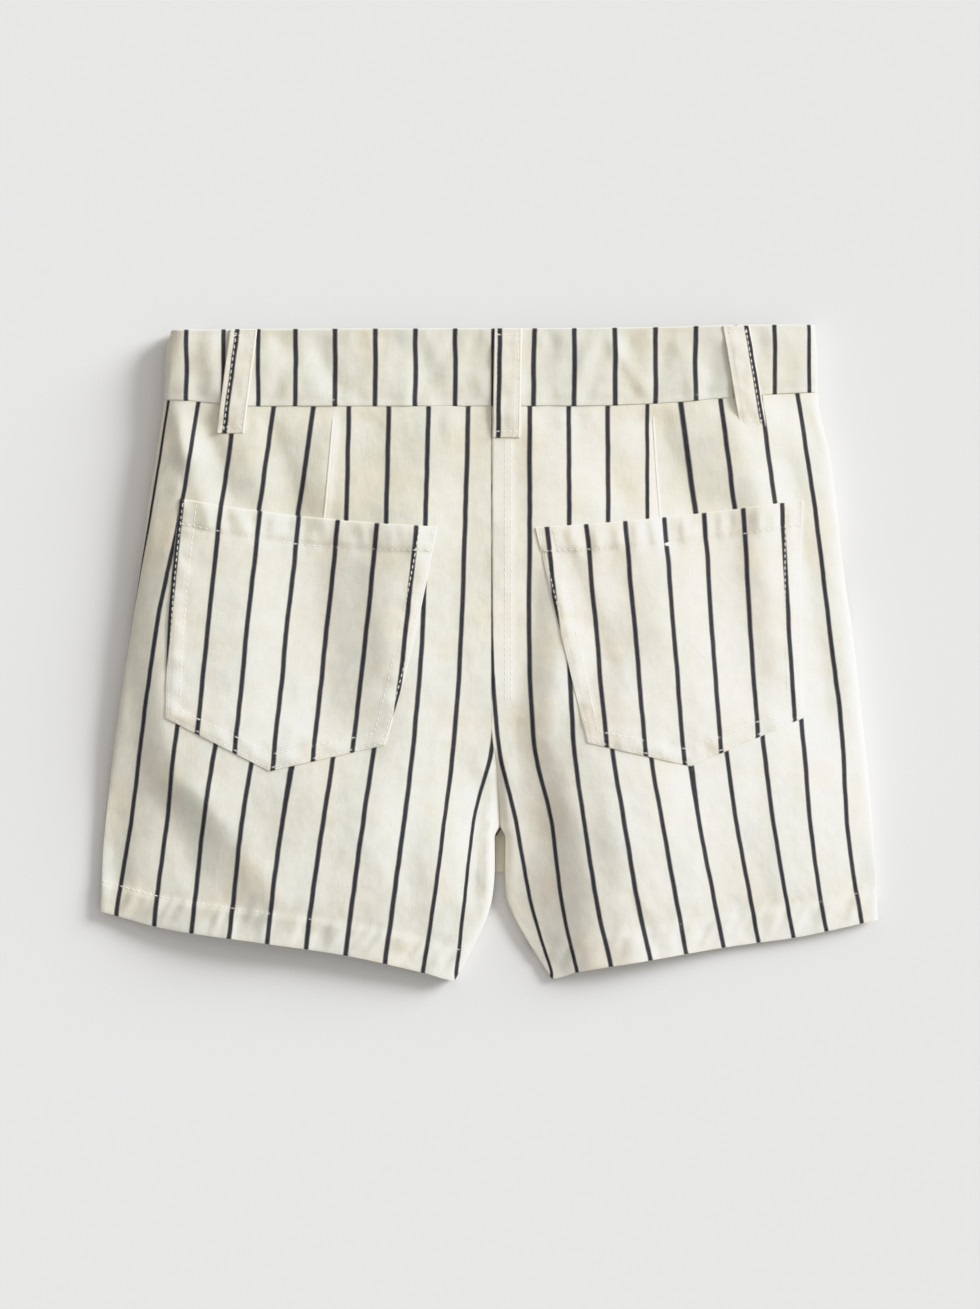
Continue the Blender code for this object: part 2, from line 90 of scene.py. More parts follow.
# One row for each level down the middle: the centre seam's line, which runs on below the crotch,
# and how far the inner edge of each leg stands off it.
Inner = namedtuple("Inner", "level line left right")
INNER_EDGES = (
    Inner(level=-164.0, line=5.6, left=22.5, right=26.3),
    Inner(level=-151.6, line=5.6, left=15.5, right=18.2),
    Inner(level=-139.6, line=5.6, left=9.5, right=10.9),
    Inner(level=-131.0, line=5.6, left=6.0, right=6.4),
    Inner(level=-121.6, line=5.6, left=3.7, right=3.1),
    Inner(level=-110.0, line=5.6, left=2.6, right=2.7),
    Inner(level=-92.0, line=5.6, left=2.6, right=2.7),
    Inner(level=-86.6, line=5.6, left=0.0, right=0.0),
    Inner(level=-61.0, line=4.1, left=0.0, right=0.0),
    Inner(level=-34.6, line=CENTRE, left=0.0, right=0.0),
    Inner(level=163.0, line=CENTRE, left=0.0, right=0.0),
)

# One row for each place across the garment: hem, seam under the waistband, and its top edge.
Line = namedtuple("Line", "across hem seam top")
LINES = (
    Line(across=-195.1, hem=-129.6, seam=126.4, top=161.4),
    Line(across=-160.0, hem=-138.6, seam=126.2, top=161.4),
    Line(across=-114.9, hem=-145.0, seam=123.0, top=161.6),
    Line(across=-70.9, hem=-151.6, seam=123.0, top=161.8),
    Line(across=-32.4, hem=-160.3, seam=123.0, top=161.9),
    Line(across=-16.9, hem=-164.1, seam=123.0, top=161.9),
    Line(across=31.9, hem=-163.5, seam=123.1, top=162.0),
    Line(across=44.6, hem=-160.1, seam=123.1, top=162.1),
    Line(across=81.1, hem=-153.9, seam=124.2, top=162.5),
    Line(across=119.4, hem=-147.5, seam=127.2, top=163.6),
    Line(across=154.6, hem=-142.6, seam=129.8, top=164.1),
    Line(across=195.1, hem=-133.9, seam=131.2, top=163.4),
)

# Soft folds and creases of the back: a line, its width, and its height or depth. Those of
# BACK_FOLDS are in the solids too.
Fold = namedtuple("Fold", "x0 y0 x1 y1 width height")
BACK_FOLDS = (
    Fold(x0=58.0, y0=4.0, x1=30.0, y1=-52.0, width=13.0, height=-1.1),
    Fold(x0=28.0, y0=-70.0, x1=38.0, y1=-150.0, width=9.0, height=-1.0),
    Fold(x0=-121.0, y0=-66.0, x1=-126.0, y1=-118.0, width=14.0, height=-0.8),
    Fold(x0=-60.0, y0=-70.0, x1=-46.0, y1=-140.0, width=16.0, height=0.7),
    Fold(x0=88.0, y0=-72.0, x1=104.0, y1=-132.0, width=15.0, height=0.7),
    Fold(x0=-12.0, y0=96.0, x1=-22.0, y1=0.0, width=12.0, height=-0.6),
    Fold(x0=14.0, y0=60.0, x1=22.0, y1=-28.0, width=10.0, height=0.6),
)
BACK_CREASES = (
    # from the left belt loop and the left dart down to the pocket
    Fold(x0=-156.0, y0=121.0, x1=-152.0, y1=100.0, width=4.5, height=1.8),
    Fold(x0=-151.0, y0=100.0, x1=-141.0, y1=74.0, width=5.5, height=1.2),
    Fold(x0=-143.0, y0=114.0, x1=-130.0, y1=80.0, width=5.5, height=-1.3),
    Fold(x0=-121.0, y0=106.0, x1=-112.0, y1=76.0, width=6.0, height=0.7),
    Fold(x0=-110.0, y0=114.0, x1=-97.0, y1=80.0, width=6.5, height=-1.1),
    Fold(x0=-60.0, y0=116.0, x1=-56.0, y1=70.0, width=9.0, height=-0.5),
    Fold(x0=-28.0, y0=112.0, x1=-32.0, y1=64.0, width=9.0, height=0.5),
    # from the waist and the right dart down to the pocket
    Fold(x0=40.0, y0=114.0, x1=46.0, y1=78.0, width=8.0, height=0.7),
    Fold(x0=52.0, y0=110.0, x1=66.0, y1=78.0, width=8.0, height=-1.0),
    Fold(x0=83.0, y0=116.0, x1=96.0, y1=76.0, width=12.0, height=-2.0),
    Fold(x0=124.0, y0=112.0, x1=138.0, y1=80.0, width=10.0, height=1.1),
    Fold(x0=152.0, y0=128.0, x1=170.0, y1=94.0, width=4.0, height=-0.6),
    # beside the centre back
    Fold(x0=24.0, y0=114.0, x1=24.0, y1=52.0, width=6.5, height=0.9),
    # under the left pocket
    Fold(x0=-90.0, y0=54.0, x1=-84.0, y1=-24.0, width=16.0, height=-3.0),
    Fold(x0=-41.0, y0=54.0, x1=-45.0, y1=-22.0, width=18.0, height=2.7),
    Fold(x0=-63.0, y0=26.0, x1=-60.0, y1=-2.0, width=6.0, height=-0.5),
    Fold(x0=-118.0, y0=44.0, x1=-112.0, y1=-28.0, width=20.0, height=1.1),
    Fold(x0=-52.0, y0=-22.0, x1=-58.0, y1=-44.0, width=7.0, height=-0.9),
    # under the right pocket, and between it and the side
    Fold(x0=75.0, y0=54.0, x1=92.0, y1=0.0, width=14.0, height=1.0),
    Fold(x0=40.0, y0=46.0, x1=60.0, y1=-6.0, width=4.5, height=-0.7),
    Fold(x0=118.0, y0=68.0, x1=131.0, y1=-4.0, width=12.0, height=-2.7),
    Fold(x0=150.0, y0=90.0, x1=168.0, y1=-30.0, width=7.5, height=-1.5),
    # between the centre back and the right pocket
    Fold(x0=21.0, y0=30.0, x1=20.0, y1=-14.0, width=6.0, height=-0.9),
    Fold(x0=33.0, y0=30.0, x1=38.0, y1=-20.0, width=7.0, height=0.8),
    # left leg
    Fold(x0=-3.0, y0=-66.0, x1=-6.5, y1=-120.0, width=3.6, height=-1.2),
    Fold(x0=4.0, y0=-56.0, x1=5.6, y1=-84.0, width=2.4, height=-1.3),
    Fold(x0=-5.0, y0=-96.0, x1=-14.0, y1=-146.0, width=6.0, height=0.4),
    Fold(x0=-24.0, y0=-84.0, x1=-28.0, y1=-144.0, width=8.0, height=0.7),
    Fold(x0=-44.0, y0=-86.0, x1=-38.0, y1=-146.0, width=9.0, height=-0.6),
    Fold(x0=-88.0, y0=-74.0, x1=-74.0, y1=-132.0, width=15.0, height=0.8),
    Fold(x0=-140.0, y0=-72.0, x1=-106.0, y1=-122.0, width=20.0, height=1.8),
    Fold(x0=-175.0, y0=-84.0, x1=-179.0, y1=-118.0, width=7.5, height=1.2),
    # right leg
    Fold(x0=33.0, y0=-112.0, x1=38.0, y1=-150.0, width=8.0, height=0.8),
    Fold(x0=64.0, y0=-90.0, x1=78.0, y1=-158.0, width=11.0, height=1.6),
    Fold(x0=62.0, y0=-46.0, x1=78.0, y1=-140.0, width=32.0, height=3.0),
    Fold(x0=70.0, y0=-122.0, x1=84.0, y1=-150.0, width=4.5, height=-0.7),
    Fold(x0=128.0, y0=-66.0, x1=138.0, y1=-130.0, width=12.0, height=-0.5),
    Fold(x0=160.0, y0=-60.0, x1=172.0, y1=-128.0, width=10.0, height=0.6),
)

# Where the back falls away towards the wearer's left: for a level, where the middle of the slope
# lies, how wide it is, and how much lower the cloth lies past it. They are the fold down the left
# leg to its low corner, that corner itself, and the right leg's inner edge.
Fall = namedtuple("Fall", "level middle width drop")
LEFT_LEG_FALL = (
    Fall(level=124.0, middle=-158.0, width=13.0, drop=1.0),
    Fall(level=86.0, middle=-160.0, width=15.0, drop=1.7),
    Fall(level=46.0, middle=-165.0, width=17.0, drop=2.6),
    Fall(level=1.0, middle=-172.0, width=18.0, drop=3.4),
    Fall(level=-34.0, middle=-170.0, width=19.0, drop=3.9),
    Fall(level=-62.0, middle=-165.0, width=23.0, drop=4.6),
    Fall(level=-77.0, middle=-152.0, width=30.0, drop=5.4),
    Fall(level=-94.0, middle=-139.0, width=35.0, drop=5.2),
    Fall(level=-110.0, middle=-131.0, width=41.0, drop=4.6),
    Fall(level=-128.0, middle=-122.0, width=46.0, drop=2.6),
    Fall(level=-146.0, middle=-112.0, width=50.0, drop=0.8),
)
LEFT_CORNER_FALL = (
    Fall(level=60.0, middle=-170.0, width=14.0, drop=0.2),
    Fall(level=1.0, middle=-178.0, width=14.0, drop=0.9),
    Fall(level=-34.0, middle=-178.0, width=20.0, drop=1.7),
    Fall(level=-64.0, middle=-177.0, width=30.0, drop=2.5),
    Fall(level=-99.0, middle=-178.0, width=40.0, drop=3.6),
    Fall(level=-124.0, middle=-172.0, width=50.0, drop=4.4),
    Fall(level=-150.0, middle=-152.0, width=80.0, drop=4.6),
)
RIGHT_LEG_FALL = (
    Fall(level=60.0, middle=30.0, width=14.0, drop=0.1),
    Fall(level=30.0, middle=29.0, width=16.0, drop=0.7),
    Fall(level=-4.0, middle=26.0, width=18.0, drop=1.8),
    Fall(level=-34.0, middle=23.0, width=21.0, drop=3.9),
    Fall(level=-64.0, middle=26.0, width=26.0, drop=5.5),
    Fall(level=-99.0, middle=34.0, width=33.0, drop=7.0),
    Fall(level=-124.0, middle=34.0, width=46.0, drop=8.2),
    Fall(level=-145.0, middle=30.0, width=56.0, drop=9.5),
    Fall(level=-165.0, middle=36.0, width=60.0, drop=9.5),
)
RISE_WIDTH = 58.0        # the left panel rises over this width from the low cloth at the centre
RISE_SHARE = 0.4         # share of the right leg's fall that the left leg's inner edge keeps,
RISE_START = FORK_END + 20.0  # from this level down,
RISE_RUN = 50.0          # coming on over this length
LEG_RUN = 60.0           # the drops of the legs' ends come on over this, down and across
HEM_DROOP = 3.4          # both hems lie this much lower
DROOP_ABOVE = 80.0       # than the cloth this far above them,
DROOP_FROM = -134.0      # from here on towards the right
HEM_DROP = 4.2           # the right leg's end lies lower by this too,
HEM_DROP_START = -84.0   # from this level down
HEM_DROP_FROM = 50.0     # and from here outwards
HEM_BEND = {"left": 0.8, "right": 2.6}  # each hem bends down by this at last,
BEND_ABOVE = 28.0        # over this length
SIDE_DROP = 3.4          # the back comes down by this to the right side
SIDE_DROP_WIDTH = 50.0   # over this width
CREASE_SLACK = 2.2       # how much wider the flank of a crease is that faces right
CROWN = 4.5              # how much higher the cloth lies along the middle than at the sides,
CROWN_WIDTH = 190.0      # this far from it
CROWN_AT_ENDS = 0.4      # its share at the hems and at the waist,
CROWN_ENDS = (-165.0, 155.0)  # which lie at these levels,
CROWN_RUNS = (60.0, 50.0)     # and over these lengths it gains the rest
LOWEST = 3.7             # no part of the back lies lower than this on the front,
LOWEST_SOFTNESS = 0.6    # which it nears as softly as this,
LOWEST_DIP = 1.1         # less this much near the hems, where no skirt lies under it:
DIP_ABOVE = 24.0         # it starts this far above them
DIP_RUN = 14.0           # and comes on over this length,
DIP_REACH = 160.0        # and it ends this far from the middle,
DIP_FADE = 40.0          # over this width
BAND_TOP = 12.0          # upper face of the waistband's back
BAND_STEP = 0.55         # how far the band's lower edge stands over the panels,
STEP_START = 1.0         # which leave it this far above that edge,
STEP_RUN = 12.0          # over this length

# Where the stripes of each back panel run: for a level, how far each lies from the garment's
# middle, x = 0. The last stripe of the first list and the first of the second are the same one,
# which the dart takes in; they meet below it.
Stripes = namedtuple("Stripes", "level centre side")
LEFT_STRIPES = (
    Stripes(132.0, (-10.1, 9.9, 29.7, 49.7, 69.6, 88.1), (64.4, 86.2, 106.2, 125.0, 143.9, 159.8)),
    Stripes(70.0, (-8.4, 11.6, 31.4, 51.1, 71.0, 89.6), (74.2, 95.1, 114.9, 134.1, 154.1, 169.8)),
    Stripes(16.0, (-5.6, 13.4, 32.7, 52.9, 72.9, 92.9), (84.9, 104.9, 124.9, 144.9, 165.4, 182.4)),
    Stripes(-42.0, (-2.4, 17.1, 37.2, 56.6, 76.4, 95.9), (95.9, 115.9, 135.6, 156.3, 173.6, 191.9)),
    Stripes(-84.0, (7.5, 22.0, 42.2, 62.6, 82.5, 102.9), (102.9, 123.1, 142.4, 160.9, 179.0, 196.9)),
    Stripes(-126.0, (12.4, 27.6, 47.9, 68.3, 88.7, 108.6), (108.6, 127.9, 147.2, 166.5, 186.0, 204.4)),
    Stripes(-160.0, (16.2, 32.9, 52.6, 72.6, 92.9, 112.6), (112.6, 131.9, 150.6, 169.9, 189.9, 208.4)),
)
RIGHT_STRIPES = (
    Stripes(132.0, (0.4, 20.4, 39.8, 59.3, 79.3, 92.9), (69.5, 95.0, 115.1, 135.1, 154.0, 172.7)),
    Stripes(70.0, (0.4, 20.4, 40.1, 59.6, 79.3, 93.3), (77.7, 103.4, 123.1, 143.6, 163.4, 181.6)),
    Stripes(16.0, (0.9, 20.0, 39.8, 59.6, 79.6, 99.6), (91.6, 111.1, 131.1, 150.1, 169.9, 188.1)),
    Stripes(-42.0, (4.4, 22.1, 42.1, 61.1, 80.1, 99.4), (99.4, 117.6, 136.6, 156.9, 176.7, 195.6)),
    Stripes(-84.0, (13.5, 31.3, 47.4, 67.4, 86.4, 104.9), (104.9, 123.4, 142.0, 160.5, 179.1, 197.6)),
    Stripes(-126.0, (21.3, 36.7, 54.1, 74.6, 94.2, 113.3), (113.3, 131.6, 149.5, 166.7, 185.4, 203.6)),
    Stripes(-160.0, (31.5, 44.1, 61.9, 82.4, 100.6, 120.6), (120.6, 137.9, 156.1, 173.6, 192.1, 209.6)),
)
BACK_STRIPES = {"left": LEFT_STRIPES, "right": RIGHT_STRIPES}
DART_STRIPE = 5          # the number of the stripe that each dart takes in
DART_TIP = 42.0          # level of the darts' lower ends,
DART_RUN = 40.0          # from which they come up over this length

# How far a dart stands up from the cloth, or lies down in it, and how wide its two flanks are.
Dart = namedtuple("Dart", "rise left right")
DARTS = {"left": Dart(rise=0.8, left=9.0, right=2.4), "right": Dart(rise=-0.5, left=2.4, right=9.0)}
WELT_WIDTH = 1.3         # of the folded edge that shows along each dart
WELT_RISE = 0.2
WELT_START = 0.12        # its left edge is already this share of the way round the fold
WELT_ENDS = (118.0, 66.0)
WELT_TAPER = 30.0        # the fold fades within one part of this many at its upper end

FELL_WIDTH = 11.6        # the raised strip of the felled seam, on the right of the centre back
FELL_HEIGHT = 0.35
FELL_EDGE_IN = 0.2       # from the seam to the strip's sharp edge
FELL_EDGE = 0.5          # width of that edge,
FELL_SLOPE = 3.0         # and of the soft one on its right
FELL_TAPER = 2.0         # length of its lower end
FELL_ENDS = (122.0, -23.6)
FELL_STITCHES = (6.7, 9.7)  # from the seam to each row
HEM_BAND = 15.5          # from the hem to its stitching
HEM_RAISED = 0.55        # height of the cloth that is turned up
HEM_STEP = 1.6           # width of the step at its upper edge,
HEM_STEP_OVER = 0.6      # which reaches this far past the stitching
HEM_PUCKER = 1.25        # depth of the hem's puckers,
HEM_PUCKER_AT = 0.65     # deepest at this share of its band,
HEM_PUCKER_WIDTH = 7.0
PUCKER_SLANT = 0.6       # which lean this much,
PUCKER_STRETCH = 0.3     # and whose width is this share of their length
GATHER = 0.7             # depth of the small gathers under the waistband
GATHER_LENGTH = 14.0
DRIFT = 0.6              # slight unevenness of cloth that was worn or washed,
FINE_DRIFT = 0.21        # and a finer one

INNER_COLUMNS = 8
BACK_COLUMNS = 124
SIDE_COLUMNS = 12
BACK_ROWS = 132
SETTLE_STEPS = 6         # rounds in which a point's place across and its level find each other


def curve(at, values, places):
    """Values between points, on a curve that never overshoots them."""
    steps = np.diff(values) / np.diff(at)
    before, after = steps[:-1], steps[1:]
    same_way = before * after > 0.0
    both = np.where(same_way, before + after, 1.0)
    slopes = np.zeros(len(values))
    slopes[1:-1] = np.where(same_way, 2.0 * before * after / both, 0.0)
    slopes[0], slopes[-1] = steps[0], steps[-1]
    places = np.clip(places, at[0], at[-1])
    low = np.clip(np.searchsorted(at, places, side="right") - 1, 0, len(at) - 2)
    span = at[low + 1] - at[low]
    t = (places - at[low]) / span
    from_low = values[low] * (1 + 2 * t) * (1 - t) ** 2 + slopes[low] * span * t * (1 - t) ** 2
    from_high = values[low + 1] * t * t * (3 - 2 * t) + slopes[low + 1] * span * t * t * (t - 1)
    return from_low + from_high


def read(table, key, column, places):
    """Values of a table's column at these places of its key."""
    rows = sorted(table, key=lambda row: getattr(row, key))
    at = np.array([getattr(row, key) for row in rows])
    values = np.array([getattr(row, column) for row in rows])
    return curve(at, values, places)


def edge_line(name, x):
    """The level of the hem, of the seam under the waistband, or of the top."""
    return read(LINES, "across", name, x)


def above_hem(x, y):
    """How far a point lies above the hem."""
    return y - edge_line("hem", x)


def below_waist(x, y):
    """How far a point lies below the seam under the waistband."""
    return edge_line("seam", x) - y


def ease(share):
    """Smooth step from 0 to 1."""
    share = np.clip(share, 0.0, 1.0)
    return share * share * (3.0 - 2.0 * share)


def mix(low, high, share):
    """The value at this share of the way from low to high."""
    return low + (high - low) * share


def swell(distance, width):
    """A soft ridge: 1 in its middle, fading within about this width on both sides."""
    return np.exp(-(distance / width) ** 2)


def fold_height(folds, x, y, slack=1.0):
    """Height that soft folds add at these points. The flank that faces right is wider by slack."""
    height = np.zeros_like(x)
    for fold in folds:
        run_x, run_y = fold.x1 - fold.x0, fold.y1 - fold.y0
        share = ((x - fold.x0) * run_x + (y - fold.y0) * run_y) / (run_x ** 2 + run_y ** 2)
        share = np.clip(share, 0.0, 1.0)
        off_x = x - fold.x0 - run_x * share
        distance = np.hypot(off_x, y - fold.y0 - run_y * share)
        to_right = 0.5 + 0.5 * np.sign(fold.height) * off_x / np.maximum(distance, 0.001)
        height += fold.height * swell(distance, fold.width * mix(1.0, slack, to_right))
    return height


def drift(x, y, size, seed):
    """Slow unevenness from -1 to 1 with waves of this size."""
    places = zip(np.ravel(x) / size, np.ravel(y) / size)
    heights = [noise.noise(Vector((across, along, seed))) for across, along in places]
    return np.array(heights).reshape(np.shape(x))


def side_edge(side, level):
    """Where the garment folds over at a side."""
    return read(SECTIONS, "level", side, level)


def inner_edge(side, level):
    """The inner edge of a leg, or the centre seam above the crotch."""
    stand_off = read(INNER_EDGES, "level", side, level)
    stand_off = np.where(stand_off > 0.0, stand_off, -SEAM_TUCK)
    return read(INNER_EDGES, "level", "line", level) + SIDES[side] * stand_off


def fork(level):
    """0 where the centre seam lies flat, and 1 from the crotch down, where it turns under."""
    return ease((FORK_START - level) / (FORK_START - FORK_END)) ** FORK_POWER


def stripe_places(side, group, level):
    """Distances of one group's stripes from the middle at these levels, one row a stripe."""
    rows = sorted(BACK_STRIPES[side], key=lambda row: row.level)
    at = np.array([row.level for row in rows])
    columns = np.array([getattr(row, group) for row in rows]).T
    return np.array([curve(at, column, level) for column in columns])


def dart_line(side, level):
    """Distance of a back panel's dart from the middle."""
    return (stripe_places(side, "centre", level)[-1] + stripe_places(side, "side", level)[0]) / 2.0


def fallen_by(fall, x, y):
    """How much lower the cloth lies past the slope of one fall."""
    middle, width, drop = (read(fall, "level", column, y) for column in ("middle", "width", "drop"))
    return drop * ease((middle + width / 2.0 - x) / width)


def fallen(x, y):
    """How much lower the cloth lies where it has fallen away."""
    right = fallen_by(RIGHT_LEG_FALL, x, y)
    left = right * mix(1.0, RISE_SHARE, ease((RISE_START - y) / RISE_RUN))
    left = left * (1.0 - ease((CENTRE - x) / RISE_WIDTH))
    outer = fallen_by(LEFT_LEG_FALL, x, y) + fallen_by(LEFT_CORNER_FALL, x, y)
    outer += HEM_DROP * ease((HEM_DROP_START - y) / LEG_RUN) * ease((x - HEM_DROP_FROM) / LEG_RUN)
    above = above_hem(x, y)
    outer += HEM_DROOP * ease(1.0 - above / DROOP_ABOVE) * ease((x - DROOP_FROM) / LEG_RUN)
    bend = np.where(x > CENTRE, HEM_BEND["right"], HEM_BEND["left"])
    outer += bend * ease(1.0 - above / BEND_ABOVE)
    outer += SIDE_DROP * ease((x - side_edge("right", y)) / SIDE_DROP_WIDTH + 1.0)
    return outer + np.where(x > CENTRE, right, left)


def crown(x, y):
    """How much higher the cloth lies towards the garment's middle."""
    within = ease((y - CROWN_ENDS[0]) / CROWN_RUNS[0]) * ease((CROWN_ENDS[1] - y) / CROWN_RUNS[1])
    return CROWN * np.maximum(0.0, 1.0 - (x / CROWN_WIDTH) ** 2) * mix(CROWN_AT_ENDS, 1.0, within)


def back_form(x, y):
    """Height of the back's upper face between its turns, with its folds and falls."""
    height = read(SECTIONS, "level", "height", y) + fold_height(BACK_FOLDS, x, y)
    height += fold_height(BACK_CREASES, x, y, CREASE_SLACK) + crown(x, y) - fallen(x, y)
    dip = ease((DIP_ABOVE - above_hem(x, y)) / DIP_RUN) * ease((DIP_REACH - np.abs(x)) / DIP_FADE)
    lowest = LOWEST - LOWEST_DIP * dip
    return lowest + LOWEST_SOFTNESS * np.logaddexp(0.0, (height - lowest) / LOWEST_SOFTNESS)


def seam_form(x, y):
    """Height of the side seams and inseams."""
    return np.minimum(SEAM_HEIGHT - SEAM_SHARE * fallen(x, y), back_form(x, y) - SEAM_UNDER)


def waist_form(x, y):
    """Height of the waistband's back, without its own relief."""
    return BAND_TOP + crown(x, y) - fallen(x, y)


def back_relief(x, y):
    """The fine relief of the back: darts, felled seam, hems and slight unevenness."""
    height = DRIFT * drift(x, y, size=32.0, seed=1.7)
    height += FINE_DRIFT * drift(x, y, size=13.0, seed=5.1)
    for side, outwards in SIDES.items():
        dart = DARTS[side]
        distance = x - outwards * dart_line(side, y)
        flank = np.where(distance < 0.0, dart.left, dart.right)
        rise = dart.rise * ease((y - DART_TIP) / DART_RUN)
        height += np.where(outwards * x > 0.0, rise * swell(distance, flank), 0.0)
    strip = ease((x - CENTRE - FELL_EDGE_IN) / FELL_EDGE)
    strip = strip * ease((CENTRE + FELL_WIDTH - x) / FELL_SLOPE)
    height += FELL_HEIGHT * strip * ease((y - FELL_ENDS[1]) / FELL_TAPER)
    above = above_hem(x, y)
    height += HEM_RAISED * ease((HEM_BAND + HEM_STEP_OVER - above) / HEM_STEP)
    pucker = drift(x - PUCKER_SLANT * above, above * PUCKER_STRETCH, size=4.8, seed=9.3)
    height += HEM_PUCKER * pucker * swell(above - HEM_PUCKER_AT * HEM_BAND, HEM_PUCKER_WIDTH)
    below = below_waist(x, y)
    gather = drift(x, below * PUCKER_STRETCH, size=8.0, seed=6.1)
    height += GATHER * gather * swell(below, GATHER_LENGTH)
    return height


def back_surface(x, y):
    """The back's upper face. Towards the waistband it dips under the band's edge."""
    height = back_form(x, y) + back_relief(x, y)
    share = ease((below_waist(x, y) + STEP_START) / STEP_RUN)
    return mix(waist_form(x, y) - BAND_STEP, height, share)


def placed(name, mesh, material):
    """A piece of this mesh and material, smooth, in the scene."""
    mesh.materials.append(material)
    mesh.shade_smooth()
    piece = bpy.data.objects.new(name, mesh)
    bpy.context.scene.collection.objects.link(piece)
    return piece


def built(name, builder, material):
    """A piece of a finished bmesh."""
    mesh = bpy.data.meshes.new(name)
    builder.to_mesh(mesh)
    builder.free()
    return placed(name, mesh, material)


def cloth_shell(name, columns, rows, place, grain, material, wall=SHELL, rounding=0.4,
                faces_up=True):
    """A grid set in place by place(column share, row share), with a wall on its inner side.

    grain(x, y) gives a point's place in the cloth; the face's middle goes with it, so that a
    dart can part the grain between two faces.
    """
    builder = bmesh.new()
    bmesh.ops.create_grid(builder, x_segments=columns, y_segments=rows, size=1.0)
    across = np.array([(point.co.x + 1.0) / 2.0 for point in builder.verts])
    up = np.array([(point.co.y + 1.0) / 2.0 for point in builder.verts])
    x, y, z = place(across, up)
    for point, where in zip(builder.verts, np.stack((x, y, z), axis=1)):
        point.co = where * MM
    grain_map = builder.loops.layers.uv.new("grain")
    corners = [corner for face in builder.faces for corner in face.loops]
    numbers = np.array([corner.vert.index for corner in corners])
    middles = [face.calc_center_median() / MM for face in builder.faces for _ in face.loops]
    middle_x = np.array([middle.x for middle in middles])
    middle_y = np.array([middle.y for middle in middles])
    u, v = grain(x[numbers], y[numbers], middle_x, middle_y)
    for corner, place_in_cloth in zip(corners, np.stack((u, v), axis=1)):
        corner[grain_map].uv = place_in_cloth
    if not faces_up:
        bmesh.ops.reverse_faces(builder, faces=builder.faces[:])
    piece = built(name, builder, material)
    thickness = piece.modifiers.new("Wall", "SOLIDIFY")
    thickness.thickness = wall * MM
    thickness.offset = -1.0
    thickness.use_even_offset = True
    edge = piece.modifiers.new("Folded edge", "BEVEL")
    edge.width = rounding * wall * MM
    edge.segments = 3
    edge.limit_method = "ANGLE"
    edge.angle_limit = math.radians(50.0)
    return piece


# What tells a panel's grid apart: the level of a row, how far it lies inside the outline, its
# height, and whether it forks at the crotch.
Shape = namedtuple("Shape", "level_at inset height_at has_fork")


def turn(share):
    """Reach and rise, from 0 to 1, along the curve of a turned edge."""
    angle = share * math.pi / 2.0
    power = 2.0 / ROUNDNESS
    return 1.0 - np.abs(np.cos(angle)) ** power, np.abs(np.sin(angle)) ** power


def panel_place(side, shape, inner_columns, middle_columns, side_columns):
    """The function that sets the grid of one half of the back, front or skirt in place."""
    outwards = SIDES[side]
    columns = inner_columns + middle_columns + side_columns
    inner_width = INSEAM_TURN if shape.has_fork else 0.0
    side_width = SIDE_TURN - shape.inset

    def place(across, up):
        column = (across if side == "right" else 1.0 - across) * columns
        in_reach = in_rise = np.ones_like(column)
        if shape.has_fork:
            in_reach, in_rise = turn(np.clip(column / inner_columns, 0.0, 1.0))
        share = np.clip((column - inner_columns) / middle_columns, 0.0, 1.0)
        out_reach, out_rise = turn(np.clip((columns - column) / side_columns, 0.0, 1.0))
        x = np.full_like(column, CENTRE)
        for _ in range(SETTLE_STEPS):
            level = shape.level_at(x, up)
            inner = outwards * (inner_edge(side, level) if shape.has_fork else
                                CENTRE - outwards * SEAM_TUCK)
            outer = outwards * side_edge(side, level) - shape.inset
            middle = outer - side_width - inner - inner_width
            reach = inner + inner_width * in_reach + middle * share + side_width * (1.0 - out_reach)
            x = outwards * reach
        under = fork(level) if shape.has_fork else 0.0
        rise = in_rise + (1.0 - in_rise) * (1.0 - under) - (1.0 - out_rise)
        return x, level, mix(seam_form(x, level), shape.height_at(x, level), rise)

    return place, columns


def new_material(name):
    """A material, its node tree, and the tree's shader."""
    material = bpy.data.materials.new(name)
    material.use_nodes = True
    return material, material.node_tree, material.node_tree.nodes["Principled BSDF"]


def new_node(tree, kind, **settings):
    """A node of this kind with these settings."""
    made = tree.nodes.new(kind)
    for name, value in settings.items():
        setattr(made, name, value)
    return made


def put(tree, socket, value):
    """Joins an output to a socket, or sets the socket's own number."""
    if isinstance(value, bpy.types.NodeSocket):
        tree.links.new(value, socket)
    else:
        socket.default_value = value


def maths(tree, operation, *values):
    """The result of an operation on outputs and numbers."""
    made = new_node(tree, "ShaderNodeMath", operation=operation)
    for socket, value in zip(made.inputs, values):
        put(tree, socket, value)
    return made.outputs[0]


def blend_colours(tree, share, first, second, how="MIX"):
    """This share of the way from the first colour to its blend with the second."""
    made = new_node(tree, "ShaderNodeMix", data_type="RGBA", blend_type=how)
    put(tree, made.inputs[0], share)
    put(tree, made.inputs[6], first)     # the node's colour sockets come after those for
    put(tree, made.inputs[7], second)    # numbers and vectors
    return made.outputs[2]


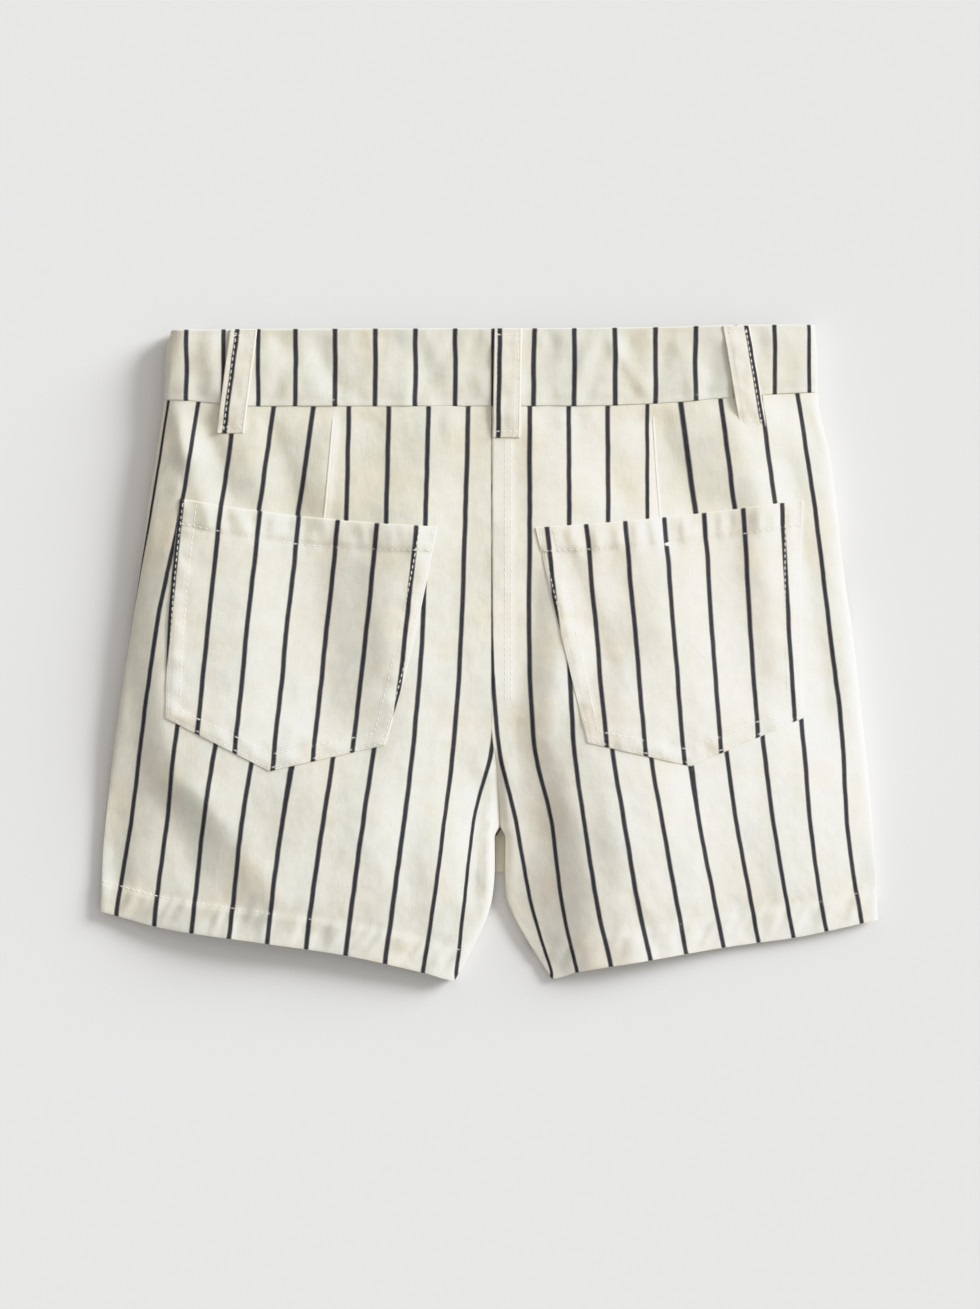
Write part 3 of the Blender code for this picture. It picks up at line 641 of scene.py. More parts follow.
def cloth_noise(tree, u, v, across, along, detail=2.0, shift=0.0):
    """Noise from 0 to 1 whose spots are so wide across and so long along the grain.

    shift takes it from elsewhere along the grain, so that two noises differ.
    """
    if shift:
        v = maths(tree, "ADD", v, shift)
    where = new_node(tree, "ShaderNodeCombineXYZ")
    put(tree, where.inputs[0], maths(tree, "DIVIDE", u, across))
    put(tree, where.inputs[1], maths(tree, "DIVIDE", v, along))
    spots = new_node(tree, "ShaderNodeTexNoise")
    spots.inputs["Scale"].default_value = 1.0
    spots.inputs["Detail"].default_value = detail
    tree.links.new(where.outputs[0], spots.inputs["Vector"])
    return spots.outputs["Fac"]


def spread(tree, value, low, high, to_low=0.0, to_high=1.0):
    """Maps low..high of a value to another range, with soft ends."""
    made = new_node(tree, "ShaderNodeMapRange", interpolation_type="SMOOTHSTEP")
    for socket, number in zip(made.inputs, (value, low, high, to_low, to_high)):
        put(tree, socket, number)
    return made.outputs[0]


def bumps(tree, height, strength, depth, under=None):
    """Fine relief of this depth, on top of other relief."""
    bump = new_node(tree, "ShaderNodeBump")
    bump.inputs["Strength"].default_value = strength
    bump.inputs["Distance"].default_value = depth * MM
    tree.links.new(height, bump.inputs["Height"])
    if under:
        tree.links.new(under, bump.inputs["Normal"])
    return bump.outputs[0]


CREAM = (0.795, 0.765, 0.665, 1.0)
COOL_TINT = (0.950, 0.985, 1.035, 1.0)
WARM_TINT = (1.005, 0.955, 0.905, 1.0)
LEG_TINT = (1.035, 1.045, 1.085, 1.0)
WAIST_TINT = (0.970, 0.965, 0.960, 1.0)
TINT_LEVELS = (-110.0, 110.0)  # where the cloth has the legs' tint and where the waist's
NAVY = (0.017, 0.018, 0.029, 1.0)

# What the noises do to the cream: two values of a noise, and the share of a tint or the shade of
# the cloth that it has there.
COOL_PATCHES = (0.42, 0.68, 0.0, 0.55)
WARM_PATCHES = (0.46, 0.70, 0.0, 0.7)
SLUB_SHADE = (0.3, 0.7, 0.965, 1.02)
MOTTLE_SHADE = (0.3, 0.7, 0.965, 1.02)
GRIT_SHADE = (0.3, 0.7, 0.975, 1.0)
WALE_SHADE = 0.045       # how much brighter the middle of a rib is

STRIPE_HALF = 1.22       # half the width of a stripe
STRIPE_EDGE = 0.14       # half the width over which its colour fades
WAVER = 0.13             # how far the stripes stray from their lines
RAG_PITCH = 1.4          # of the teeth in the stripes' edges, along the grain
RAG_DEPTH = 0.75         # of these teeth
RAG_MEAN = 0.36          # how far they stand out on average
RAG_GRIT = 0.14          # how far single threads stray from them
FLECKS = (0.75, 1.0, 1.0, 0.84)  # values of the weave, and the share of navy at them
TWILL_SLANT = 1.1        # rise of the twill's diagonal ribs
WALE = 1.15              # pitch of the ribs along the grain
SLUB_HEIGHT = 0.6        # heights of slubs and grit, where a rib is half
GRIT_HEIGHT = 0.5
WEAVE_STRENGTH = 0.45
WEAVE_DEPTH = 0.25
CRUMPLE_DEPTH = 0.6      # of the fine crumpling between the folds


def striped_denim(name, cream=CREAM):
    """Cream twill with a navy pinstripe, a little slubbed, and palest towards the hems."""
    material, tree, shader = new_material(name)
    grain = new_node(tree, "ShaderNodeUVMap", uv_map="grain")
    parts = new_node(tree, "ShaderNodeSeparateXYZ")
    tree.links.new(grain.outputs[0], parts.inputs[0])
    u, v = parts.outputs[0], parts.outputs[1]

    # the weave: diagonal ribs, slubs along the grain, and grit
    slant = maths(tree, "ADD", v, maths(tree, "MULTIPLY", u, TWILL_SLANT))
    wale = maths(tree, "PINGPONG", maths(tree, "DIVIDE", slant, WALE), 0.5)
    slub = cloth_noise(tree, u, v, across=0.55, along=7.0)
    grit = cloth_noise(tree, u, v, across=0.35, along=0.5)

    # the cream: cool and warm patches, paler legs, and small changes of shade
    coolness = cloth_noise(tree, u, v, across=26.0, along=38.0, detail=3.0)
    warmth = cloth_noise(tree, u, v, across=34.0, along=30.0, detail=3.0, shift=500.0)
    mottle = cloth_noise(tree, u, v, across=6.0, along=8.0, shift=900.0)
    cloth = blend_colours(tree, spread(tree, coolness, *COOL_PATCHES), cream, COOL_TINT, "MULTIPLY")
    cloth = blend_colours(tree, spread(tree, warmth, *WARM_PATCHES), cloth, WARM_TINT, "MULTIPLY")
    hem_to_waist_tint = blend_colours(tree, spread(tree, v, *TINT_LEVELS), LEG_TINT, WAIST_TINT)
    cloth = blend_colours(tree, 1.0, cloth, hem_to_waist_tint, "MULTIPLY")
    shade = maths(tree, "ADD", spread(tree, slub, *SLUB_SHADE),
                  maths(tree, "MULTIPLY", wale, WALE_SHADE))
    shade = maths(tree, "MULTIPLY", shade, spread(tree, mottle, *MOTTLE_SHADE))
    shade = maths(tree, "MULTIPLY", shade, spread(tree, grit, *GRIT_SHADE))
    grey = new_node(tree, "ShaderNodeCombineColor")
    for socket in grey.inputs[:3]:
        tree.links.new(shade, socket)
    cloth = blend_colours(tree, 1.0, cloth, grey.outputs[0], "MULTIPLY")

    # the stripes: navy within half a stripe's width of each whole pitch, with ragged edges
    waver = cloth_noise(tree, u, v, across=40.0, along=13.0, detail=1.0, shift=700.0)
    stray = spread(tree, waver, 0.3, 0.7, -WAVER, WAVER)
    pitches = maths(tree, "DIVIDE", maths(tree, "ADD", u, stray), STRIPE_PITCH)
    distance = maths(tree, "MULTIPLY", maths(tree, "PINGPONG", pitches, 0.5), STRIPE_PITCH)
    teeth = maths(tree, "PINGPONG", maths(tree, "DIVIDE", slant, RAG_PITCH), 0.5)
    ragged = maths(tree, "MULTIPLY_ADD", teeth, 2.0 * RAG_DEPTH, STRIPE_HALF - RAG_MEAN)
    ragged = maths(tree, "ADD", ragged, spread(tree, grit, 0.3, 0.7, -RAG_GRIT, RAG_GRIT))
    outside = maths(tree, "SUBTRACT", distance, ragged)
    navy_share = spread(tree, outside, -STRIPE_EDGE, STRIPE_EDGE, 1.0, 0.0)
    weft = maths(tree, "ADD", maths(tree, "MULTIPLY", wale, 0.8), grit)
    navy_share = maths(tree, "MULTIPLY", navy_share, spread(tree, weft, *FLECKS))
    tree.links.new(blend_colours(tree, navy_share, cloth, NAVY), shader.inputs["Base Color"])

    # the relief of the weave, on the crumpling between the folds
    weave = maths(tree, "ADD", wale, maths(tree, "MULTIPLY", slub, SLUB_HEIGHT))
    weave = maths(tree, "ADD", weave, maths(tree, "MULTIPLY", grit, GRIT_HEIGHT))
    crumple = cloth_noise(tree, u, v, across=12.0, along=14.0, detail=2.5, shift=300.0)
    crumpled = bumps(tree, crumple, 1.0, CRUMPLE_DEPTH)
    woven = bumps(tree, weave, WEAVE_STRENGTH, WEAVE_DEPTH, under=crumpled)
    tree.links.new(woven, shader.inputs["Normal"])
    shader.inputs["Roughness"].default_value = 0.9
    shader.inputs["Specular IOR Level"].default_value = 0.25
    shader.inputs["Sheen Weight"].default_value = 0.06
    shader.inputs["Sheen Roughness"].default_value = 0.5
    return material


def along_cloth(x, y, width=SIDE_TURN):
    """x, but measured along the cloth where it turns down at the sides."""
    room = np.minimum(x - side_edge("left", y), side_edge("right", y) - x)
    room = np.clip(room / width, 0.0, 1.0)
    rise = (1.0 - (1.0 - room) ** ROUNDNESS) ** (1.0 / ROUNDNESS)
    return x + np.sign(x) * TURN_DEPTH * (1.0 - rise)


def back_grain(side):
    """The function that gives a point's place in the cloth of a back panel."""
    outwards = SIDES[side]

    def grain(x, y, middle_x, middle_y):
        reach = outwards * along_cloth(x, y)
        past_dart = outwards * middle_x > dart_line(side, middle_y)
        number = np.zeros_like(x)
        for group, first, chosen in (("centre", 0, ~past_dart), ("side", DART_STRIPE, past_dart)):
            places = stripe_places(side, group, y)
            low = np.clip((places <= reach).sum(axis=0) - 1, 0, len(places) - 2)
            below = np.take_along_axis(places, low[None], axis=0)[0]
            above = np.take_along_axis(places, low[None] + 1, axis=0)[0]
            share = (reach - below) / (above - below)
            number = np.where(chosen, first + low + share, number)
        return number * STRIPE_PITCH, y

    return grain


STITCH_PITCH = 3.0
STITCH_LENGTH = 2.3
STITCH_HALVES = (0.46, 0.52)  # half a stitch's length, from the shortest to the longest
STITCH_STRAY = 0.12      # how far a stitch lies from its place along the row
STITCH_WIDTH = 0.62
STITCH_HEIGHT = 0.4      # half its height, as a share of its width
STITCH_SUNK = 0.06       # how deep the middle of a stitch's thread lies in the cloth


def object_noise(tree, scale):
    """Noise from 0 to 1 that goes by a point's place on the object."""
    place = new_node(tree, "ShaderNodeTexCoord")
    spots = new_node(tree, "ShaderNodeTexNoise")
    spots.inputs["Scale"].default_value = scale
    tree.links.new(place.outputs["Object"], spots.inputs["Vector"])
    return spots.outputs["Fac"]


def thread_material(name, dim, bright):
    """Twisted thread between a dim and a bright tone."""
    material, tree, shader = new_material(name)
    fibres = object_noise(tree, 2500.0)
    tree.links.new(blend_colours(tree, fibres, dim, bright), shader.inputs["Base Color"])
    tree.links.new(bumps(tree, fibres, 0.4, 0.1), shader.inputs["Normal"])
    shader.inputs["Roughness"].default_value = 0.7
    return material


thread = thread_material("cream_thread", (0.76, 0.73, 0.64, 1.0), (0.86, 0.84, 0.77, 1.0))
navy_thread = thread_material("navy_thread", (0.015, 0.016, 0.026, 1.0), (0.04, 0.042, 0.06, 1.0))


def stitch_form():
    """Corners and faces of one stitch of unit size, a bead that lies along X."""
    builder = bmesh.new()
    bmesh.ops.create_uvsphere(builder, u_segments=6, v_segments=5, radius=1.0,
                              matrix=Matrix.Rotation(math.pi / 2.0, 4, "Y"))
    corners = np.array([corner.co for corner in builder.verts])
    faces = [[corner.index for corner in face.verts] for face in builder.faces]
    builder.free()
    return corners, faces


def sew(name, rows, pitch=STITCH_PITCH, length=STITCH_LENGTH, width=STITCH_WIDTH, material=thread):
    """One mesh of the stitches along these rows, each a list of points and outward normals."""
    jitter = random.Random(name)
    corners, faces = stitch_form()
    all_corners, all_faces = [], []
    for points, normals in rows:
        steps = np.linalg.norm(np.diff(points, axis=0), axis=1)
        run = np.concatenate(([0.0], np.cumsum(steps)))
        count = int(run[-1] / pitch)
        for number in range(count):
            middle = (number + 0.5) * run[-1] / count + jitter.uniform(-STITCH_STRAY, STITCH_STRAY)
            low = min(int(np.searchsorted(run, middle, side="right")) - 1, len(points) - 2)
            share = (middle - run[low]) / (run[low + 1] - run[low])
            spot = Vector(mix(points[low], points[low + 1], share))
            ahead = Vector(points[low + 1] - points[low]).normalized()
            up = Vector(mix(normals[low], normals[low + 1], share)).normalized()
            across = up.cross(ahead).normalized()
            up = ahead.cross(across)
            half = length * jitter.uniform(*STITCH_HALVES)
            axes = np.array((ahead * half, across * width / 2.0, up * width * STITCH_HEIGHT))
            start = len(all_faces) // len(faces) * len(corners)
            all_corners.append((corners @ axes + np.array(spot - up * STITCH_SUNK)) * MM)
            all_faces += [[start + corner for corner in face] for face in faces]
    mesh = bpy.data.meshes.new(name)
    mesh.from_pydata(np.concatenate(all_corners), [], all_faces)
    stitches = placed(name, mesh, material)
    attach(stitches, "root")
    return stitches


def row_on(place, across, up, outwards_up=1.0):
    """A row of stitches at these shares of a grid: its points and their normals."""
    nudge = 0.002
    points = np.stack(place(across, up), axis=1)
    right = np.stack(place(np.clip(across + nudge, 0, 1), up), axis=1)
    left = np.stack(place(np.clip(across - nudge, 0, 1), up), axis=1)
    higher = np.stack(place(across, np.clip(up + nudge, 0, 1)), axis=1)
    lower = np.stack(place(across, np.clip(up - nudge, 0, 1)), axis=1)
    return points, outwards_up * np.cross(right - left, higher - lower)


def row_over(surface, x, y):
    """A row of stitches on a surface given by its height over x and y."""
    nudge = 0.5
    slope_x = (surface(x + nudge, y) - surface(x - nudge, y)) / (2.0 * nudge)
    slope_y = (surface(x, y + nudge) - surface(x, y - nudge)) / (2.0 * nudge)
    points = np.stack((x, y, surface(x, y)), axis=1)
    return points, np.stack((-slope_x, -slope_y, np.ones_like(x)), axis=1)


def back_level(x, up):
    """The level of a row of a back panel's grid."""
    return mix(edge_line("hem", x), edge_line("seam", x) + WAIST_TUCK, up)


def hem_row(place, outwards_up=1.0):
    """The row of stitching along a panel's hem."""
    along = np.linspace(0.01, 0.99, 160)
    low = place(along, np.zeros_like(along))[1]
    high = place(along, np.ones_like(along))[1]
    return row_on(place, along, HEM_BAND / (high - low), outwards_up)


def welt_place(side):
    """The function that sets the narrow folded edge of a dart in place."""

    def place(across, up):
        y = mix(WELT_ENDS[1], WELT_ENDS[0], up)
        x = SIDES[side] * dart_line(side, y) + (across - 0.5) * WELT_WIDTH
        rise = WELT_RISE * np.sin(math.pi * mix(WELT_START, 1.0, across))
        return x, y, back_surface(x, y) + rise * ease((1.0 - up) * WELT_TAPER)

    return place


def plain_grain(x, y, middle_x, middle_y):
    """A place in the cloth half way between two stripes, so that none shows."""
    return np.full_like(x, STRIPE_PITCH / 2.0), y


# painted light and shade: one cloth in a lit copy and a shaded copy, the right back panel's cream
# lighter and the left's darker, as the light falls from the right
BACK_CREAM_LIT_AND_SHADED = {"left": (0.788, 0.766, 0.648, 1.0), "right": (0.852, 0.820, 0.700, 1.0)}
CROTCH_MARK_FEET = (3.6, 9.2)   # where the two legs of the navy peak at the crotch end, across the garment,
CROTCH_MARK_HEAD = 6.2          # and where they meet
CROTCH_MARK_LOW = -91.6
CROTCH_MARK_HIGH = -87.2
CROTCH_MARK_OVER = 5.6          # height of its thread

back_shape = Shape(level_at=back_level, inset=0.0, height_at=back_surface, has_fork=True)
for side in SIDES:
    place, columns = panel_place(side, back_shape, INNER_COLUMNS, BACK_COLUMNS, SIDE_COLUMNS)
    panel = cloth_shell("denim_back_" + side, columns, BACK_ROWS, place, back_grain(side),
                        striped_denim("back_denim_" + side, BACK_CREAM_LIT_AND_SHADED[side]))
    rows = [hem_row(place)]
    if side == "right":
        down = np.linspace(*FELL_ENDS, 120)
        rows += [row_over(back_surface, np.full_like(down, CENTRE + off), down)
                 for off in FELL_STITCHES]
    stitches = [sew("stitches_back_" + side, rows)]
    if side == "right":
        # two short rows of navy stitches meet in a peak where the seams join at the crotch
        upwards = np.array(((0.0, 0.0, 1.0), (0.0, 0.0, 1.0)))
        legs = [(np.array(((foot, CROTCH_MARK_LOW, CROTCH_MARK_OVER), (CROTCH_MARK_HEAD, CROTCH_MARK_HIGH, CROTCH_MARK_OVER))), upwards)
                for foot in CROTCH_MARK_FEET]
        stitches.append(sew("stitches_crotch_tack", legs, pitch=1.1, length=1.5, width=0.9,
                            material=navy_thread))
    welt = cloth_shell("dart_" + side, 6, 60, welt_place(side), plain_grain,
                       panel.data.materials[0], wall=0.6, rounding=0.2)
    for piece in (panel, welt):
        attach(piece, "root")
    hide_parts("back_" + side)

# ---------------------------------------------------------------- the waistband's back
# One straight strip of the same cloth, folded in two and lined with itself, so it is thicker. It is
# stitched through near both edges, and its ends turn down at the sides.

BAND_WALL = 1.8
BAND_CREAM = (0.738, 0.716, 0.604, 1.0)
BAND_DEPTH = 37.5        # from its lower edge to its upper one
BAND_TURN = 6.0          # width of the turn at each end,
BAND_TURN_COLUMNS = 10   # and its share of the grid
BAND_STITCH_IN = 3.0     # from an edge to its stitching
BAND_STITCHES = (BAND_STITCH_IN / BAND_DEPTH, 1.0 - BAND_STITCH_IN / BAND_DEPTH)
BAND_PILLOW = 0.25       # how far its middle stands over its edges
BAND_GROOVE = 0.3        # depth of the cloth under its stitching
BAND_RIPPLE = 1.0        # height of its short ripples,
BAND_SLANT = 0.3         # which lean this much,
BAND_WAVE = 0.7          # of its long ones,
BAND_PUCKER = 0.8        # and of the puckers along its stitching
BAND_HELD = 0.3          # the edges keep this share of all that,
BAND_HELD_IN = 7.0       # and the cloth further in all of it
BAND_STRAY = 0.5         # how far its stripes stray from their lines
BAND_MIDDLE = 142.0      # level half way up the band
BAND_COLUMNS = 150
BAND_ROWS = 18

BAND_CREASES = (
    Fold(x0=-102.0, y0=158.0, x1=-94.0, y1=140.0, width=3.5, height=-0.6),
    Fold(x0=-86.0, y0=150.0, x1=-74.0, y1=132.0, width=3.5, height=-0.7),
    Fold(x0=-140.0, y0=146.0, x1=-133.0, y1=126.0, width=4.0, height=0.8),
    Fold(x0=-58.0, y0=152.0, x1=-54.0, y1=130.0, width=4.0, height=0.5),
    Fold(x0=-30.0, y0=146.0, x1=-24.0, y1=126.0, width=4.0, height=-0.5),
    Fold(x0=22.0, y0=158.0, x1=26.0, y1=142.0, width=4.0, height=-0.6),
    Fold(x0=62.0, y0=152.0, x1=78.0, y1=130.0, width=2.4, height=0.9),
    Fold(x0=98.0, y0=148.0, x1=101.0, y1=128.0, width=3.5, height=0.6),
    Fold(x0=136.0, y0=158.0, x1=139.0, y1=130.0, width=4.0, height=-0.7),
)

# Where the stripes cross the middle of the band.
BAND_STRIPES = np.array((
    -170.0, -151.0, -132.3, -115.0, -96.5, -76.6, -56.6, -36.5, -16.6, 2.4, 22.6, 42.8, 63.2, 83.3,
    103.3, 123.6, 143.1, 160.5, 178.0))


def band_surface(x, y):
    """Height of the waistband's back between its turns."""
    seam, top = edge_line("seam", x), edge_line("top", x)
    share = np.clip((y - seam) / (top - seam), 0.0, 1.0)
    edge = np.minimum(y - seam, top - y)
    stitched = edge - BAND_STITCH_IN
    relief = BAND_PILLOW * np.sin(share * math.pi) - BAND_GROOVE * swell(stitched, width=1.1)
    pucker = BAND_PUCKER * drift(x, edge * PUCKER_STRETCH, size=5.5, seed=4.4)
    rumple = BAND_RIPPLE * drift(x - BAND_SLANT * y, y * 0.5, size=9.5, seed=2.9)
    rumple += BAND_WAVE * drift(x, y * 0.6, size=27.0, seed=7.7)
    rumple += pucker * swell(stitched, width=6.0) + fold_height(BAND_CREASES, x, y, CREASE_SLACK)
    return waist_form(x, y) + relief + mix(BAND_HELD, 1.0, ease(edge / BAND_HELD_IN)) * rumple


def band_place(across, up):
    """Sets the grid of the waistband's back in place, with a turn at each end."""
    columns, turned = BAND_COLUMNS, BAND_TURN_COLUMNS
    column = across * columns
    left_reach, left_rise = turn(np.clip(column / turned, 0.0, 1.0))
    right_reach, right_rise = turn(np.clip((columns - column) / turned, 0.0, 1.0))
    share = np.clip((column - turned) / (columns - 2 * turned), 0.0, 1.0)
    x = np.full_like(across, CENTRE)
    for _ in range(SETTLE_STEPS):
        level = mix(edge_line("seam", x), edge_line("top", x), up)
        start = side_edge("left", level)
        end = side_edge("right", level)
        x = (start + BAND_TURN * left_reach + (end - start - 2.0 * BAND_TURN) * share
             + BAND_TURN * (1.0 - right_reach))
    rise = left_rise + right_rise - 1.0
    return x, level, mix(seam_form(x, level), band_surface(x, level), rise)


def band_grain(x, y, middle_x, middle_y):
    """A point's place in the waistband's cloth."""
    place = along_cloth(x, y, BAND_TURN) + BAND_STRAY * drift(x * 0.6, y, size=18.0, seed=3.3)
    numbers = np.arange(len(BAND_STRIPES), dtype=float)
    return np.interp(place, BAND_STRIPES, numbers) * STRIPE_PITCH, y - BAND_MIDDLE


def row_across(place, across, share, outwards_up=1.0):
    """A row across a grid, at this share of its height."""
    return row_on(place, across, np.full_like(across, share), outwards_up)


band_denim = striped_denim("waistband_denim", BAND_CREAM)
waistband = cloth_shell("denim_waistband_back", BAND_COLUMNS, BAND_ROWS, band_place, band_grain,
                        band_denim, wall=BAND_WALL, rounding=0.33)
along = np.linspace(0.02, 0.98, 300)
stitches = sew("stitches_waistband_back",
               [row_across(band_place, along, share) for share in BAND_STITCHES])
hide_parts("waistband_back")
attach(waistband, "root")

# ---------------------------------------------------------------- the patch pockets
# Each is a five-sided patch of the same cloth with a hemmed mouth. Its other edges are turned in
# and held on the back panel by two rows of stitching.

Pocket = namedtuple(
    "Pocket", "name top_left top_right low_right point low_left bow_top bow_left bow_right")
POCKETS = (
    Pocket(name="pocket_left", top_left=(-154.1, 76.9), top_right=(-25.9, 62.9),
           low_right=(-51.9, -46.1), point=(-109.4, -59.1), low_left=(-161.4, -32.6),
           bow_top=-2.2, bow_left=1.8, bow_right=2.0),
    Pocket(name="pocket_right", top_left=(23.1, 62.4), top_right=(157.1, 76.4),
           low_right=(157.1, -32.6), point=(100.6, -56.6), low_left=(49.1, -44.9),
           bow_top=-1.5, bow_left=0.0, bow_right=-1.0),
)

# Where a pocket's first stripe lies, and the stripes' pitch, at two levels.
PocketStripes = namedtuple("PocketStripes", "level first pitch")
POCKET_STRIPES = {
    "pocket_left": (PocketStripes(56.4, -155.1, 19.75), PocketStripes(-34.6, -164.6, 19.68)),
    "pocket_right": (PocketStripes(56.4, 29.8, 19.6), PocketStripes(-41.6, 39.2, 19.0)),
}
POCKET_CREAM = {"pocket_left": (0.822, 0.800, 0.688, 1.0),
                "pocket_right": (0.830, 0.790, 0.676, 1.0)}
POCKET_SHEET = {"pocket_left": (0.131, 0.139, 0.0146), "pocket_right": (0.135, 0.136, 0.0142)}
POCKET_WALL = 1.1
POCKET_OVER = 0.65       # a pocket's outer face over the back panel's,
POCKET_EDGE_OVER = 0.4   # and along its pressed edges,
PRESSED = 3.0            # which are this wide
TURNED_IN = 0.12         # height of the cloth that is turned in along the sides,
MOUTH_RAISED = 0.35      # and of the mouth's hem,
MOUTH_HEM = 13.0         # which is this wide
TURN_STEP = 1.5          # width of the steps at their edges
EDGE_STITCH = 1.6        # from a pocket's edge to its first row of stitching,
INNER_STITCH = 8.0       # and to its second
EDGE_GROOVE = 0.16       # depths of the cloth under the rows,
INNER_GROOVE = 0.08
MOUTH_GROOVE = 0.2
EDGE_PUCKER = 0.6        # of the puckers along the edges,
MOUTH_PUCKER = 1.1       # and along the mouth's hem
POCKET_DRIFT = 0.3       # and of a general unevenness
POCKET_STRAY = 0.5       # how far the stripes stray from their lines
POCKET_WIDTH = 122.0     # roughly, inside the outer rows,
POCKET_DEPTH = 118.0     # and from the mouth down
POCKET_COLUMNS = 90
POCKET_ROWS = 84
POCKET_FOLDS = {
    "pocket_left": (
        Fold(x0=-62.0, y0=58.0, x1=-78.0, y1=-10.0, width=9.0, height=-0.35),
        Fold(x0=-110.0, y0=50.0, x1=-124.0, y1=-6.0, width=13.0, height=0.35),
        Fold(x0=-140.0, y0=40.0, x1=-146.0, y1=-20.0, width=8.0, height=-0.3),
    ),
    "pocket_right": (
        Fold(x0=52.0, y0=52.0, x1=66.0, y1=-20.0, width=9.0, height=0.35),
        Fold(x0=92.0, y0=50.0, x1=96.0, y1=-30.0, width=10.0, height=-0.3),
        Fold(x0=128.0, y0=56.0, x1=134.0, y1=0.0, width=10.0, height=0.3),
    ),
}


def pocket_outline(pocket, across, up):
    """Points of a pocket's outline patch; across and up run from 0 to 1."""
    across, up = across[:, None], up[:, None]
    corners = {name: np.array([getattr(pocket, name)]) for name in
               ("top_left", "top_right", "low_right", "point", "low_left")}
    bottom = np.where(across <= 0.5,
                      mix(corners["low_left"], corners["point"], across * 2.0),
                      mix(corners["point"], corners["low_right"], across * 2.0 - 1.0))
    bow = 4.0 * across * (1.0 - across)
    mouth = mix(corners["top_left"], corners["top_right"], across)
    mouth = mouth + np.array([(0.0, pocket.bow_top)]) * bow
    bulge = 4.0 * up * (1.0 - up)
    left = mix(corners["low_left"], corners["top_left"], up)
    left = left - np.array([(pocket.bow_left, 0.0)]) * bulge
    right = mix(corners["low_right"], corners["top_right"], up)
    right = right + np.array([(pocket.bow_right, 0.0)]) * bulge
    square = mix(mix(corners["low_left"], corners["low_right"], across),
                 mix(corners["top_left"], corners["top_right"], across), up)
    return (mix(bottom, mouth, up) + mix(left, right, across) - square).T


def pocket_edges(pocket, across, up):
    """Distances from a pocket's nearest side or low edge, and from its mouth."""
    x, y = pocket_outline(pocket, across, up)
    mouth_x, mouth_y = pocket_outline(pocket, across, np.ones_like(up))
    from_mouth = np.hypot(mouth_x - x, mouth_y - y)
    none, all_of_it = np.zeros_like(across), np.ones_like(across)
    distances = []
    for edge_across, edge_up in ((none, up), (all_of_it, up), (across, none)):
        edge_x, edge_y = pocket_outline(pocket, edge_across, edge_up)
        distances.append(np.hypot(edge_x - x, edge_y - y))
    return np.min(distances, axis=0), from_mouth


def pocket_place(pocket):
    """The function that sets a pocket's grid in place on the back."""

    def place(across, up):
        x, y = pocket_outline(pocket, across, up)
        from_edge, from_mouth = pocket_edges(pocket, across, up)
        turned_in = TURNED_IN * ease((INNER_STITCH + 1.0 - from_edge) / TURN_STEP)
        hemmed = MOUTH_RAISED * ease((MOUTH_HEM + 0.8 - from_mouth) / TURN_STEP)
        relief = np.maximum(turned_in, hemmed)
        relief -= EDGE_GROOVE * swell(from_edge - EDGE_STITCH, width=0.9)
        relief -= INNER_GROOVE * swell(from_edge - INNER_STITCH, width=1.0)
        relief -= MOUTH_GROOVE * swell(from_mouth - MOUTH_HEM, width=1.2)
        pucker = EDGE_PUCKER * drift(x, y, size=7.0, seed=4.2)
        relief += pucker * swell(from_edge - 5.0, width=6.0)
        pucker = MOUTH_PUCKER * drift(x, y * 0.25, size=5.5, seed=3.3)
        relief += pucker * swell(from_mouth - 8.0, width=7.0)
        relief += fold_height(POCKET_FOLDS[pocket.name], x, y)
        relief += POCKET_DRIFT * drift(x, y, size=24.0, seed=8.8)
        pressed = ease(np.minimum(from_edge, from_mouth) / PRESSED)
        return x, y, back_surface(x, y) + mix(POCKET_EDGE_OVER, POCKET_OVER, pressed) + relief

    return place


def pocket_grain(pocket):
    """The function that gives a point's place in a pocket's cloth."""
    high, low = POCKET_STRIPES[pocket.name]

    def grain(x, y, middle_x, middle_y):
        share = (y - low.level) / (high.level - low.level)
        first = mix(low.first, high.first, share)
        pitch = mix(low.pitch, high.pitch, share)
        stray = POCKET_STRAY * drift(x * 0.5, y, size=28.0, seed=6.4)
        return (x + stray - first) / pitch * STRIPE_PITCH, y

    return grain


def row_up(place, share, up, outwards_up=1.0):
    """A row up a grid, at this share of its width."""
    return row_on(place, np.full_like(up, share), up, outwards_up)


def pocket_rows(pocket, place):
    """Stitching round a pocket's sides and low edges, and under its mouth."""
    rows = []
    for inset in (EDGE_STITCH, INNER_STITCH):
        side_share, low_share = inset / POCKET_WIDTH, inset / POCKET_DEPTH
        up = np.linspace(1.0 - 1.5 / POCKET_DEPTH, low_share, 90)
        rows += [row_up(place, share, up) for share in (side_share, 1.0 - side_share)]
        rows.append(row_across(place, np.linspace(side_share, 1.0 - side_share, 100), low_share))
    rows.append(row_across(place, np.linspace(0.01, 0.99, 100), 1.0 - MOUTH_HEM / POCKET_DEPTH))
    return rows


for pocket in POCKETS:
    place = pocket_place(pocket)
    patch = cloth_shell("denim_" + pocket.name, POCKET_COLUMNS, POCKET_ROWS, place,
                        pocket_grain(pocket),
                        striped_denim(pocket.name + "_denim", POCKET_CREAM[pocket.name]),
                        wall=POCKET_WALL, rounding=0.25)
    stitches = sew("stitches_" + pocket.name, pocket_rows(pocket, place))
    side = pocket.name.split("_")[1]
    width, length, area = POCKET_SHEET[pocket.name]
    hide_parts(pocket.name)
    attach(patch, "root")

# ---------------------------------------------------------------- the back belt loops
# Three straps of the same cloth, folded in three and stitched along both edges. They cross the
# waistband, their upper ends are caught in its top, and the lower ones are tacked to the back.

